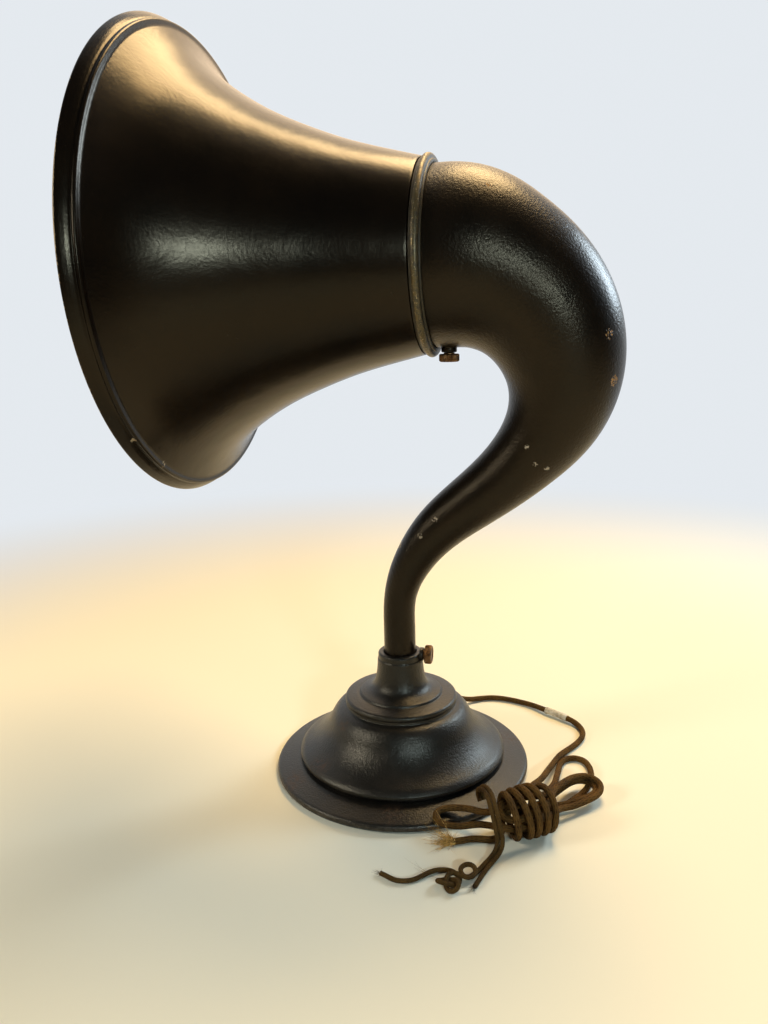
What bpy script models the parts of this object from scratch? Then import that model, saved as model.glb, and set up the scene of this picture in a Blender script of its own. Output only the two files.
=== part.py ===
"""Table horn loudspeaker: spun bell, cast gooseneck and a cast base that holds the driver unit.

Units are metres, +Z is up.  The origin is the middle of the underside, the mouth of the
bell faces -Y, and the centre lines of the bell, the gooseneck and the stem lie in the plane x = 0.
"""

import math

import bmesh
import bpy
import numpy as np
from mathutils import Matrix, Vector

MM = 0.001
GAP = 0.3 * MM                 # clearance left between pieces that touch
SIDES = 32                     # facets round the large turned pieces
UNIT_SIDES = 20                # facets round the driver unit
SMALL_SIDES = 16               # facets round screws, bushes and bores

# Base ring and felt
BASE_R = 107.7 * MM            # widest radius of the base
FELT_R = 101.0 * MM
FELT_TOP = 1.1 * MM
RING_FOOT = 0.8 * MM           # underside of the rim
RING_EDGE_H = 7.4 * MM         # top of the rounded rim
RING_LAND_R = 88.0 * MM        # where the sloping flange meets the flat land
RING_TOP = 12.0 * MM           # land that carries the dome
RING_BORE_R = 58.0 * MM
COVER_R = 66.0 * MM
COVER_TOP = 3.4 * MM

# Dome casting
LIP_R = 87.5 * MM              # overhanging lower lip of the dome
LIP_H = 16.0 * MM
DOME_FOOT_R = 83.6 * MM        # recessed foot under the lip
CAVITY_FOOT_R = 77.0 * MM
COLLAR_R = 18.4 * MM
COLLAR_TOP = 103.0 * MM
STEM_R = 13.2 * MM
SOCKET_R = STEM_R + 0.7 * MM
SOCKET_FLOOR = 72.3 * MM
THROAT_R = 9.0 * MM
BASE_SCREW_CIRCLE = 73.2 * MM
BASE_SCREW_ANGLES = [math.radians(a) for a in (45, 135, 225, 315)]
DRIVER_SCREW_CIRCLE = 38.0 * MM
DRIVER_SCREW_ANGLES = [math.radians(a) for a in (30, 150, 270)]
COVER_SCREW_CIRCLE = 62.0 * MM
COVER_SCREW_ANGLES = [math.radians(a) for a in (90, 210, 330)]

# Driver unit, heights from the floor
DRIVER_R = 46.0 * MM
CASE_R = 32.4 * MM
CASE_BORE_R = 30.0 * MM
CASE_FLOOR = 18.0 * MM
FLANGE_BOTTOM = 38.0 * MM
FLANGE_TOP = 40.2 * MM
CAP_TOP = 46.1 * MM
GASKET_R = 34.2 * MM
NIPPLE_R = 8.6 * MM
POLE_Y = 7.5 * MM              # distance of each pole from the driver's axis

# Horn: bell axis, joint and gooseneck
BELL_AXIS_H = 419.8 * MM
JOINT_Y = 31.0 * MM            # middle of the bead where bell and gooseneck meet
BEAD_HALF = 4.0 * MM
BEAD_R = 73.2 * MM
NECK_R = 66.0 * MM             # gooseneck at the joint
NECK_WALL = 2.2 * MM
SPIGOT_R = NECK_R - NECK_WALL - 2 * GAP
SPIGOT_LENGTH = 14.6 * MM      # stretch of the bell inside the gooseneck
BELL_R = 178.0 * MM            # outside of the lip
BELL_DEPTH = 198.8 * MM        # joint to lip
BELL_WALL = 1.4 * MM

# Bell flare: distance from the joint towards the mouth, outside radius
BELL_FLARE = [(4.9, 71.2), (30, 77.5), (60, 85.9), (90, 97.0), (120, 110.5), (145, 125.4),
              (165, 140.6), (178, 154.8), (186.2, 167.6)]
# Pressed step and convex rim band between the flare and the lip
BELL_RIM = [(187.0, 169.4), (187.6, 171.0), (189.4, 173.2), (192.4, 175.4), (195.6, 177.0)]

# Gooseneck above its straight stem: y and z of the centre line, and the radius of the ball that
# would just fill the outside there.  The last two rows are the straight socket for the bell.
NECK_FOOT_H = 74.4 * MM
NECK_LINE = [(0, 124, 13.2), (0, 138, 13.1), (1.2, 151, 13.3), (4.4, 164, 14.1), (16.7, 189, 16.7),
             (34.3, 211, 19.6), (59.0, 232, 22.3), (84.2, 252.5, 25.0), (106.4, 275.2, 29.1),
             (123.5, 302.0, 35.6), (129.9, 335, 43.0), (121, 368.8, 49.8), (99.5, 396.2, 55.4),
             (72.5, 413.0, 61.2), (60, 417.8, 64.2), (50, 419.6, 65.8), (40, 419.8, 66.0), (27, 419.8, 66.0)]
NECK_RINGS = 25

# Dome sweep from the lip over the lower bowl and the shoulder to the cove: radius, height
DOME_SWEEP = [(87.3, 18.2), (85.2, 20.6), (80.6, 23.6), (75.2, 27.0), (70.2, 31.2), (65.6, 36.2),
              (61.9, 41.6), (59.2, 46.8), (56.2, 51.4), (52.6, 55.0), (49.6, 56.6)]
# Collar foot from the groove up to the straight part
COLLAR_SWEEP = [(34.2, 68.4), (28.5, 70.2), (23.6, 73.6), (21.2, 79.0), (19.8, 87.0), (19.0, 97.0)]
# Inside of the dome, from the foot to the roof
CAVITY_LINE = [(76.8, 19.5), (73.0, 24.2), (67.6, 28.6), (62.4, 34.0), (58.4, 39.6), (55.4, 45.0),
               (51.6, 49.2), (46.4, 52.4), (42.0, 56.6), (34.0, 62.4), (22.0, 63.6), (0.0, 64.0)]

# Clamping screws
THUMB_HEAD_R = 7.8 * MM
THUMB_HEAD_H = 6.8 * MM
THUMB_SHANK_R = 2.2 * MM
THUMB_HOLE_R = 2.6 * MM
THUMB_BOSS_R = 6.0 * MM
COLLAR_SCREW_H = 101.0 * MM
COLLAR_BOSS_END = 20.3 * MM
BELL_SCREW_Y = 43.4 * MM
BELL_BOSS_END = BELL_AXIS_H - 350.2 * MM

# Cord
CORD_R = 2.5 * MM
CORE_R = 1.7 * MM              # one conductor in its own braid
LEAD_R = 0.8 * MM
CORD_ANGLE = math.radians(165)  # direction of the cord's hole, seen from above
CORD_HOLE_H = 24.0 * MM
CORD_BOSS_END = 87.3 * MM
CORD_BUSH_START = 72.5 * MM

# Route of the free cord, millimetres: from the base to the wrapped bundle
CORD_ROUTE = [(-86.7, 23.2, 24.0), (-92.6, 24.9, 22.8), (-99.4, 27.3, 18.6), (-106.5, 31.0, 12.6),
              (-114.0, 37.5, 7.2), (-121.5, 45.5, 3.8), (-128.0, 56.0, 2.8), (-130.8, 68.0, 2.8),
              (-129.2, 82.0, 2.8), (-124.6, 96.5, 2.9), (-118.0, 108.5, 3.4), (-110.8, 117.8, 4.1),
              (-104.8, 127.5, 4.2), (-98.5, 136.5, 4.2), (-91.5, 145.5, 3.4), (-82.4, 151.2, 2.8),
              (-71.5, 153.0, 2.8), (-59.5, 150.6, 2.8), (-46.5, 144.2, 2.8), (-30.0, 134.6, 3.2),
              (-10.3, 128.9, 5.5), (7.8, 124.8, 8.5), (28.5, 120.3, 12.5), (46.0, 115.0, 17.0),
              (62.0, 112.0, 21.0)]
# The two conductors past the end of the braid: over the bundle's end and down to the table, side
# by side, where the first one stops
PAIR_ROUTE = [(77.0, 78.5, 18.5), (75.6, 76.8, 23.0), (77.5, 77.0, 28.4), (83.0, 80.0, 33.0), (91.5, 84.6, 35.0),
              (101.5, 88.6, 33.6), (109.8, 92.4, 27.0), (113.0, 95.0, 17.5), (114.0, 96.0, 9.0),
              (118.5, 94.4, 4.4), (128.0, 89.0, 3.0)]
CORE_1_END = [(138.5, 87.0, 2.1), (147.5, 84.4, 2.1), (154.5, 82.6, 2.1)]
CORE_2_END = [(136.5, 82.2, 2.1), (143.5, 78.6, 2.6)]
# From the knot in the second conductor to its tip
TIP_ROUTE = [(146.9, 60.0, 3.0), (145.7, 55.0, 2.2), (146.9, 50.2, 2.0), (151.3, 44.8, 2.0),
             (156.2, 36.8, 2.0), (157.4, 27.2, 2.0), (155.6, 20.6, 2.0), (153.3, 17.3, 2.0)]
# Plan of the bundle and of the loops at its ends: ends of the middle line, half width, low, high
HANK = ((87.2, 111.8), (85.8, 114.2), 19.4, 0.4, 38.6)
LOOP_1 = ((94.5, 82.0), (92.0, 55.5), 9.4, 9.6, 20.6)
LOOP_2 = ((55.5, 140.5), (33.5, 151.0), 14.0, 6.0, 24.0)
LOOP_3 = ((55.5, 140.0), (-12.0, 147.2), 14.6, 0.4, 5.7)
KNOT_CENTRE = Vector((150.2, 69.4, 5.0))
KNOT_HALF = Vector((6.6, 9.0, 4.6))
TAPE_CENTRE = Vector((-103.8, 128.7, 4.2))
TAPE_AHEAD = Vector((11.9, 18.0, 0.0))
TAPE_HALF = 12.0 * MM
# Frayed end of the cord's braid, opening into a tuft
FRAY_START = Vector((99.5, 74.2, 4.9))
FRAY_TIP = Vector((111.9, 52.6, 4.9))
TUFT_R = 4.6 * MM


# ---------------------------------------------------------------- scene and materials

def clear_scene():
    """Remove whatever the opened file holds."""
    for item in list(bpy.data.objects):
        bpy.data.objects.remove(item, do_unlink=True)


def finish(name, colour, roughness, metallic=0.0):
    """A Principled material."""
    material = bpy.data.materials.new(name)
    material.use_nodes = True
    shader = material.node_tree.nodes["Principled BSDF"]
    shader.inputs["Base Color"].default_value = (*colour, 1.0)
    shader.inputs["Roughness"].default_value = roughness
    shader.inputs["Metallic"].default_value = metallic
    return material


# ---------------------------------------------------------------- geometry helpers

def scaled(points):
    """Millimetre tuples as metre tuples."""
    return [tuple(value * MM for value in point) for point in points]


def spline(points, count):
    """Natural cubic through the points, read at equal steps of chord length."""
    knots = np.array(points, dtype=float)
    spans = np.linalg.norm(np.diff(knots[:, :3], axis=0), axis=1)
    at = np.concatenate([[0.0], np.cumsum(spans)])
    size = len(knots)
    matrix = np.eye(size)
    right = np.zeros_like(knots)
    for i in range(1, size - 1):
        before, after = spans[i - 1], spans[i]
        matrix[i, i - 1:i + 2] = before, 2 * (before + after), after
        right[i] = 6 * ((knots[i + 1] - knots[i]) / after - (knots[i] - knots[i - 1]) / before)
    bend = np.linalg.solve(matrix, right)
    where = np.linspace(0.0, at[-1], count)
    i = np.clip(np.searchsorted(at, where, side="right") - 1, 0, size - 2)
    span = spans[i][:, None]
    left = (at[i + 1] - where)[:, None]
    done = (where - at[i])[:, None]
    return ((bend[i] * left ** 3 + bend[i + 1] * done ** 3) / (6 * span)
            + (knots[i] / span - bend[i] * span / 6) * left
            + (knots[i + 1] / span - bend[i + 1] * span / 6) * done)


def sweep(points, count):
    """A smooth run of a turned outline, in metres."""
    return [tuple(point) for point in spline(scaled(points), count)]


def arc(centre, radius, start, end, count):
    """Points along an arc of an outline, angles in degrees from the +r direction."""
    angles = np.radians(np.linspace(start, end, count))
    return [(centre[0] + radius * math.cos(a), centre[1] + radius * math.sin(a)) for a in angles]


def inset_line(points, distance):
    """An open outline moved to the left of its direction by a distance."""
    line = np.array(points)
    along = np.gradient(line, axis=0)
    along /= np.linalg.norm(along, axis=1)[:, None]
    normal = np.stack([-along[:, 1], along[:, 0]], axis=1)
    return [tuple(point) for point in line + distance * normal]


def add_object(name, mesh, material, sharp=35.0):
    """Link a mesh as an object with smooth shading."""
    item = bpy.data.objects.new(name, mesh)
    bpy.context.scene.collection.objects.link(item)
    mesh.materials.append(material)
    mesh.shade_smooth()
    mesh.set_sharp_from_angle(angle=math.radians(sharp))
    return item


def from_bmesh(name, bm, material):
    """Close a bmesh into an object whose faces point out."""
    bmesh.ops.remove_doubles(bm, verts=bm.verts, dist=1e-6)
    bmesh.ops.recalc_face_normals(bm, faces=bm.faces)
    mesh = bpy.data.meshes.new(name)
    bm.to_mesh(mesh)
    bm.free()
    return add_object(name, mesh, material)


def spin_outline(bm, outline, sides):
    """Turn an outline of (radius, height) points about Z.

    An outline whose first and last points lie on the axis is closed by the axis itself.
    """
    verts = [bm.verts.new((r, 0.0, h)) for r, h in outline]
    on_axis = outline[0][0] < 1e-9 and outline[-1][0] < 1e-9
    pairs = list(zip(verts, verts[1:]))
    if not on_axis:
        pairs.append((verts[-1], verts[0]))
    edges = [bm.edges.new(pair) for pair in pairs]
    bmesh.ops.spin(bm, geom=verts + edges, cent=(0, 0, 0), axis=(0, 0, 1),
                   angle=2 * math.pi, steps=sides, use_merge=True)


def turned(name, outline, sides, material):
    """One turned piece."""
    bm = bmesh.new()
    spin_outline(bm, outline, sides)
    return from_bmesh(name, bm, material)


def add_cylinder(bm, radius, low, high, matrix, sides):
    """A closed cylinder between two heights of a local axis."""
    shift = matrix @ Matrix.Translation((0, 0, (low + high) / 2))
    bmesh.ops.create_cone(bm, cap_ends=True, segments=sides, radius1=radius, radius2=radius,
                          depth=high - low, matrix=shift)


def around(circle, angle, height=0.0):
    """A place on a bolt circle about Z."""
    return Matrix.Translation((circle * math.cos(angle), circle * math.sin(angle), height))


def radial(angle, height):
    """A frame whose Z points outwards from the axis at an angle, at a height."""
    turn = Matrix.Rotation(angle, 4, "Z") @ Matrix.Rotation(math.pi / 2, 4, "Y")
    return Matrix.Translation((0, 0, height)) @ turn


def cylinders(name, items, material, sides=SMALL_SIDES):
    """Separate cylinders in one object: (radius, low, high, matrix) each."""
    bm = bmesh.new()
    for radius, low, high, matrix in items:
        add_cylinder(bm, radius, low, high, matrix, sides)
    return from_bmesh(name, bm, material)


def as_tool(item):
    """Mark an object as a cutter or filler that isn't part of the product."""
    item.hide_render = True
    item.display_type = "WIRE"
    return item


def boolean(item, operation, tool):
    """Combine with a tool object."""
    modifier = item.modifiers.new(operation.lower(), "BOOLEAN")
    modifier.operation = operation
    modifier.solver = "EXACT"
    modifier.object = tool


def screws(name, places, shank_r, head_r, head_low, head_high, tip, material):
    """Numbered plain screws, each on its own axis, with the head below and the tip pointing up."""
    outline = [(0, head_low), (head_r * 0.8, head_low), (head_r, head_low + 0.3 * (head_high - head_low)),
               (head_r, head_high), (shank_r, head_high), (shank_r, tip), (0, tip)]
    for number, place in enumerate(places, 1):
        screw = turned(f"{name}_{number}", outline, 8, material)
        screw.matrix_world = place


def prism(name, outline, low, high, material, hole=None):
    """An outline in plan, extruded between two heights, with an optional hole through it."""
    bm = bmesh.new()
    rings = [outline] if hole is None else [outline, hole]
    edges = []
    for ring in rings:
        verts = [bm.verts.new((x, y, low)) for x, y in ring]
        edges += [bm.edges.new((verts[i - 1], verts[i])) for i in range(len(verts))]
    face = bmesh.ops.triangle_fill(bm, edges=edges, use_beauty=True)
    faces = [item for item in face["geom"] if isinstance(item, bmesh.types.BMFace)]
    top = bmesh.ops.extrude_face_region(bm, geom=faces, use_keep_orig=True)
    raised = [item for item in top["geom"] if isinstance(item, bmesh.types.BMVert)]
    bmesh.ops.translate(bm, verts=raised, vec=(0, 0, high - low))
    return from_bmesh(name, bm, material)


def rounded_box(half_x, half_y, corner, centre=(0.0, 0.0), steps=4):
    """Plan outline of a rectangle with round corners."""
    points = []
    for quarter, (sx, sy) in enumerate(((1, 1), (-1, 1), (-1, -1), (1, -1))):
        middle = (centre[0] + sx * (half_x - corner), centre[1] + sy * (half_y - corner))
        points += arc(middle, corner, 90 * quarter, 90 * (quarter + 1), steps)
    return points


def tube(name, points, radius, material, resolution=2):
    """A round cord or wire along metre points."""
    data = bpy.data.curves.new(name, "CURVE")
    data.dimensions = "3D"
    data.bevel_depth = radius
    data.bevel_resolution = resolution
    data.use_fill_caps = True
    line = data.splines.new("POLY")
    line.points.add(len(points) - 1)
    for target, point in zip(line.points, points):
        target.co = (*point, 1.0)
    item = bpy.data.objects.new(name, data)
    bpy.context.scene.collection.objects.link(item)
    data.materials.append(material)
    return item


def routed_tube(name, route, radius, spacing, material):
    """A tube along the smooth curve through route points in millimetres."""
    knots = np.array(route) * MM
    length = np.linalg.norm(np.diff(knots, axis=0), axis=1).sum()
    return tube(name, spline(knots, round(length / spacing) + 1), radius, material)


def on_bell_axis(item):
    """Place a piece turned about local Z on the bell's axis, its +Z towards the mouth."""
    item.location = (0, JOINT_Y, BELL_AXIS_H)
    item.rotation_euler = (math.pi / 2, 0, 0)
    return item


# ---------------------------------------------------------------- base

def base_ring(iron):
    """Heavy cast ring: rounded rim, sloping flange, flat land for the dome, recess for the cover."""
    edge_middle = (BASE_R - 3.4 * MM, (RING_FOOT + RING_EDGE_H) / 2)
    rim = arc(edge_middle, 3.4 * MM, -75, 75, 4)
    outline = [(RING_BORE_R, RING_TOP), (RING_BORE_R, COVER_TOP + GAP), (COVER_R + 0.5 * MM, COVER_TOP + GAP),
               (COVER_R + 0.5 * MM, FELT_TOP + GAP), (FELT_R + 0.4 * MM, FELT_TOP + GAP),
               (FELT_R + 0.4 * MM, RING_FOOT)] + rim
    outline += [(RING_LAND_R + 1.5 * MM, RING_TOP - 0.5 * MM), (RING_LAND_R, RING_TOP)]
    ring = turned("base_ring", outline, SIDES, iron)
    holes = [(2.3 * MM, 0, 14 * MM, around(BASE_SCREW_CIRCLE, a)) for a in BASE_SCREW_ANGLES]
    holes += [(1.5 * MM, 2 * MM, 9.8 * MM, around(COVER_SCREW_CIRCLE, a)) for a in COVER_SCREW_ANGLES]
    boolean(ring, "DIFFERENCE", as_tool(cylinders("ring_holes", holes, iron)))
    seats = [(4.2 * MM, 0, 5 * MM, around(BASE_SCREW_CIRCLE, a)) for a in BASE_SCREW_ANGLES]
    boolean(ring, "DIFFERENCE", as_tool(cylinders("ring_seats", seats, iron)))
    return ring


def felt_pad(felt):
    """Full disc of felt that the loudspeaker stands on."""
    return turned("felt_pad", [(0, 0), (FELT_R, 0), (FELT_R, FELT_TOP), (0, FELT_TOP)], SIDES, felt)


def bottom_cover(sheet):
    """Disc that closes the ring from below, with seats for its three screws."""
    low = FELT_TOP + GAP
    cover = turned("bottom_cover", [(0, low), (COVER_R, low), (COVER_R, COVER_TOP), (0, COVER_TOP)], SIDES, sheet)
    holes = [(1.6 * MM, 0, 8 * MM, around(COVER_SCREW_CIRCLE, a)) for a in COVER_SCREW_ANGLES]
    boolean(cover, "DIFFERENCE", as_tool(cylinders("cover_holes", holes, sheet)))
    seats = [(3.1 * MM, 0, low + 1.0 * MM, around(COVER_SCREW_CIRCLE, a)) for a in COVER_SCREW_ANGLES]
    boolean(cover, "DIFFERENCE", as_tool(cylinders("cover_seats", seats, sheet)))
    return cover


def dome_outline():
    """Outside of the dome from the foot to the top of the collar, then down the axis."""
    bead = arc((44.6 * MM, 62.0 * MM), 2.9 * MM, -48, 82, 4)
    outline = [(0, RING_TOP + GAP), (DOME_FOOT_R, RING_TOP + GAP), (DOME_FOOT_R, LIP_H), (LIP_R, LIP_H)]
    outline += sweep(DOME_SWEEP, 9)
    outline += [(47.0 * MM, 57.4 * MM)] + bead
    outline += [(38.0 * MM, 66.2 * MM), (35.2 * MM, 66.4 * MM), (34.8 * MM, 67.2 * MM)]
    outline += sweep(COLLAR_SWEEP, 5)
    outline += [(18.5 * MM, 97.5 * MM), (COLLAR_R, 98.2 * MM), (COLLAR_R, COLLAR_TOP - 1.2 * MM)]
    outline += [(COLLAR_R - 1.0 * MM, COLLAR_TOP), (0, COLLAR_TOP)]
    return outline


def base_casting(iron):
    """Hollow bell-shaped dome with a collar, screw bosses inside and a cord boss at the back."""
    dome = turned("base_casting", dome_outline(), SIDES, iron)

    outer = bmesh.new()
    collar_side = radial(math.pi / 2, COLLAR_SCREW_H)
    add_cylinder(outer, THUMB_BOSS_R, 10 * MM, COLLAR_BOSS_END, collar_side, SMALL_SIDES)
    add_cylinder(outer, 6.3 * MM, 70 * MM, CORD_BOSS_END, radial(CORD_ANGLE, CORD_HOLE_H), SMALL_SIDES)
    boolean(dome, "UNION", as_tool(from_bmesh("casting_bosses", outer, iron)))

    foot = [(0, 10 * MM), (CAVITY_FOOT_R, 10 * MM), (CAVITY_FOOT_R, 16.5 * MM)]
    cavity = as_tool(turned("cavity", foot + sweep(CAVITY_LINE, 7), SIDES, iron))
    posts = [(5.2 * MM, 5 * MM, 50 * MM, around(BASE_SCREW_CIRCLE, a)) for a in BASE_SCREW_ANGLES]
    posts += [(4.0 * MM, CAP_TOP + GAP, 70 * MM, around(DRIVER_SCREW_CIRCLE, a)) for a in DRIVER_SCREW_ANGLES]
    boolean(cavity, "DIFFERENCE", as_tool(cylinders("posts", posts, iron)))
    boolean(dome, "DIFFERENCE", cavity)

    borings = [(0, 55 * MM), (THROAT_R, 55 * MM), (THROAT_R, SOCKET_FLOOR), (SOCKET_R, SOCKET_FLOOR),
               (SOCKET_R, 115 * MM), (0, 115 * MM)]
    boolean(dome, "DIFFERENCE", as_tool(turned("borings", borings, UNIT_SIDES, iron)))

    drilled = [(2.2 * MM, 0, 22 * MM, around(BASE_SCREW_CIRCLE, a)) for a in BASE_SCREW_ANGLES]
    drilled += [(1.8 * MM, 30 * MM, 56 * MM, around(DRIVER_SCREW_CIRCLE, a)) for a in DRIVER_SCREW_ANGLES]
    drilled += [(THUMB_HOLE_R, 8 * MM, 30 * MM, collar_side)]
    drilled += [(4.2 * MM, 60 * MM, 100 * MM, radial(CORD_ANGLE, CORD_HOLE_H))]
    boolean(dome, "DIFFERENCE", as_tool(cylinders("drillings", drilled, iron)))
    return dome


def cord_bushing(fibre):
    """Flanged fibre bush that the cord comes out of."""
    bore, flange = 2.9 * MM, CORD_BOSS_END + GAP
    bush = turned("cord_bushing", [(bore, CORD_BUSH_START), (3.9 * MM, CORD_BUSH_START), (3.9 * MM, flange),
                                   (5.4 * MM, flange), (5.4 * MM, flange + 1.2 * MM), (bore, flange + 1.8 * MM)],
                  12, fibre)
    bush.matrix_world = radial(CORD_ANGLE, CORD_HOLE_H)
    return bush


# ---------------------------------------------------------------- driver unit

def driver_cap(black):
    """Lid of the driver: clamps the diaphragm and carries the throat nipple."""
    rim_r = GASKET_R + 0.4 * MM
    rim_low = FLANGE_TOP + GAP
    roof = 43.0 * MM
    outline = [(rim_r, rim_low), (DRIVER_R, rim_low), (DRIVER_R, CAP_TOP - 0.8 * MM),
               (DRIVER_R - 0.8 * MM, CAP_TOP), (16 * MM, CAP_TOP)]
    outline += arc((16 * MM, CAP_TOP + 7.4 * MM), 7.4 * MM, 270, 180, 5)
    outline += [(NIPPLE_R, 71.5 * MM), (6.8 * MM, 71.5 * MM), (5.6 * MM, 46.0 * MM), (6.4 * MM, roof), (rim_r, roof)]
    return turned("driver_cap", outline, UNIT_SIDES, black)


def driver_case(black):
    """Open cup that holds the magnet, with the clamping flange round its mouth."""
    outline = [(0, CASE_FLOOR), (CASE_R - 1.5 * MM, CASE_FLOOR), (CASE_R, CASE_FLOOR + 1.5 * MM),
               (CASE_R, FLANGE_BOTTOM), (DRIVER_R, FLANGE_BOTTOM), (DRIVER_R, FLANGE_TOP),
               (CASE_BORE_R, FLANGE_TOP), (CASE_BORE_R, CASE_FLOOR + 2 * MM), (0, CASE_FLOOR + 2 * MM)]
    return turned("driver_case", outline, UNIT_SIDES, black)


def gasket(name, low, paper):
    """Thin ring either side of the diaphragm."""
    high = low + 0.6 * MM
    inner = CASE_BORE_R + 0.4 * MM
    return turned(name, [(inner, low), (GASKET_R, low), (GASKET_R, high), (inner, high)], UNIT_SIDES, paper)


def diaphragm(iron):
    """Thin iron disc, 0.4 mm thick."""
    low = FLANGE_TOP + 1.2 * MM
    return turned("diaphragm", [(0, low), (GASKET_R, low), (GASKET_R, low + 0.4 * MM), (0, low + 0.4 * MM)],
                  UNIT_SIDES, iron)


def magnet(steel):
    """Horseshoe magnet: most of a flat ring, open towards +X."""
    outer, inner = 27.5 * MM, 17.0 * MM
    around_gap = np.radians(np.linspace(32, 328, 19))
    outline = [(outer * math.cos(a), outer * math.sin(a)) for a in around_gap]
    outline += [(inner * math.cos(a), inner * math.sin(a)) for a in around_gap[::-1]]
    return prism("magnet", outline, 20.5 * MM, 27.5 * MM, steel)


def pole_piece(name, side, iron):
    """Soft iron angle: a foot on one end of the magnet and a blade up to the diaphragm."""
    low, shoulder, tip = 27.8 * MM, 30.2 * MM, 41.0 * MM
    foot = [(-5.5, 6.0), (-5.5, 9.0), (12, 9.0), (16, 17.5), (24, 13.0), (17.5, 6.0)]
    bm = bmesh.new()
    verts = [bm.verts.new((x * MM, side * y * MM, low)) for x, y in foot]
    base = bm.faces.new(verts)
    grown = bmesh.ops.extrude_face_region(bm, geom=[base], use_keep_orig=True)
    raised = [item for item in grown["geom"] if isinstance(item, bmesh.types.BMVert)]
    bmesh.ops.translate(bm, verts=raised, vec=(0, 0, shoulder - low))
    piece = from_bmesh(name, bm, iron)
    half_x, half_y = 5.5 * MM, 1.5 * MM
    blade = prism(name + "_blade", rounded_box(half_x, half_y, 0.3 * MM, (0, side * POLE_Y), 2),
                  shoulder - 1.0 * MM, tip, iron)
    boolean(piece, "UNION", as_tool(blade))
    return piece


def coil(name, side, wire):
    """Wound bobbin round one pole."""
    centre = (0.0, side * POLE_Y)
    outside = rounded_box(10.0 * MM, 5.2 * MM, 4.2 * MM, centre)
    window = rounded_box(5.9 * MM, 1.9 * MM, 0.4 * MM, centre, 2)
    return prism(name, outside, 30.6 * MM, 39.6 * MM, wire, hole=window)


def terminal_block(fibre):
    """Fibre block under the case for the two ends of the cord."""
    top = CASE_FLOOR - GAP
    return prism("terminal_block", rounded_box(7 * MM, 15 * MM, 1.5 * MM, (-18 * MM, 0), 3),
                 top - 4.5 * MM, top, fibre)


def terminal_places():
    """Centres of the two terminal screws."""
    return [Matrix.Translation((-18 * MM, side * 9 * MM, 0)) for side in (-1, 1)]


def lead_wire(name, side, cloth):
    """One conductor from the end of the bush to its terminal."""
    start = radial(CORD_ANGLE, CORD_HOLE_H) @ Vector((0, -side * 1.2 * MM, CORD_BUSH_START - 0.6 * MM))
    terminal = Vector((-18, side * 9, 0)) * MM
    mm = [start / MM, start / MM + Vector((8, 0, -3)), Vector((-48, side * 14, 13)),
          Vector((-30, side * 12.5, 10.5)), terminal / MM + Vector((-4.8, side * 0.8, 11.5))]
    return routed_tube(name, [tuple(point) for point in mm], LEAD_R, 5 * MM, cloth)


# ---------------------------------------------------------------- horn

def neck_rings():
    """Circles where the skin touches the balls along the centre line: centre, heading, radius.

    A ball of radius r(s) at c(s) touches the skin at c - r r' t, on a circle of radius
    r sqrt(1 - r'^2) square to the tangent t.
    """
    between = 20
    fine = spline(scaled(NECK_LINE), between * (NECK_RINGS - 1) + 1)
    step = np.gradient(fine, axis=0)
    step /= np.linalg.norm(step[:, :2], axis=1)[:, None]
    rings = [(Vector((0, 0, NECK_FOOT_H)), Vector((0, 0, 1)), STEM_R)]
    for (y, z, ball), (along_y, along_z, rate) in zip(fine[::between].tolist(), step[::between].tolist()):
        heading = Vector((0, along_y, along_z))
        rings.append((Vector((0, y, z)) - ball * rate * heading, heading, ball * math.sqrt(1 - rate ** 2)))
    rings[-1] = (Vector((0, JOINT_Y - BEAD_HALF, BELL_AXIS_H)), Vector((0, -1, 0)), NECK_R)
    return rings


def gooseneck(iron):
    """Cast tube: its section grows along a doubly curved centre line, with one wall thickness.

    The rings are bridged into the outer skin, and Solidify gives the wall.
    """
    across = Vector((1, 0, 0))
    bm = bmesh.new()
    loops = []
    for centre, heading, radius in neck_rings():
        out = across.cross(heading)
        turn = [2 * math.pi * k / SIDES for k in range(SIDES)]
        ring = [bm.verts.new(centre + radius * (math.cos(a) * across + math.sin(a) * out)) for a in turn]
        loops.append([bm.edges.new((ring[k - 1], ring[k])) for k in range(SIDES)])
    for lower, upper in zip(loops, loops[1:]):
        bmesh.ops.bridge_loops(bm, edges=lower + upper)
    neck = from_bmesh("gooseneck", bm, iron)
    wall = neck.modifiers.new("wall", "SOLIDIFY")
    wall.thickness = NECK_WALL
    wall.offset = -1.0
    wall.use_even_offset = True

    down = Matrix.Translation((0, BELL_SCREW_Y, BELL_AXIS_H)) @ Matrix.Rotation(math.pi, 4, "X")
    boss = cylinders("neck_boss", [(THUMB_BOSS_R, NECK_R - 1.2 * MM, BELL_BOSS_END, down)], iron)
    boolean(neck, "UNION", as_tool(boss))
    hole = cylinders("neck_hole", [(THUMB_HOLE_R, 58 * MM, 80 * MM, down)], iron)
    boolean(neck, "DIFFERENCE", as_tool(hole))
    return neck


def neck_bead(brass):
    """Beaded ring round the end of the gooseneck: a round bead between two low flanges."""
    inner = NECK_R + 0.35 * MM
    low_r = 69.0 * MM
    bead = arc((BEAD_R - 2.9 * MM, 0), 2.9 * MM, -68, 68, 4)
    outline = [(inner, -BEAD_HALF), (low_r, -BEAD_HALF)] + bead + [(low_r, BEAD_HALF), (inner, BEAD_HALF)]
    return on_bell_axis(turned("neck_bead", outline, SIDES, brass))


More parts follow.
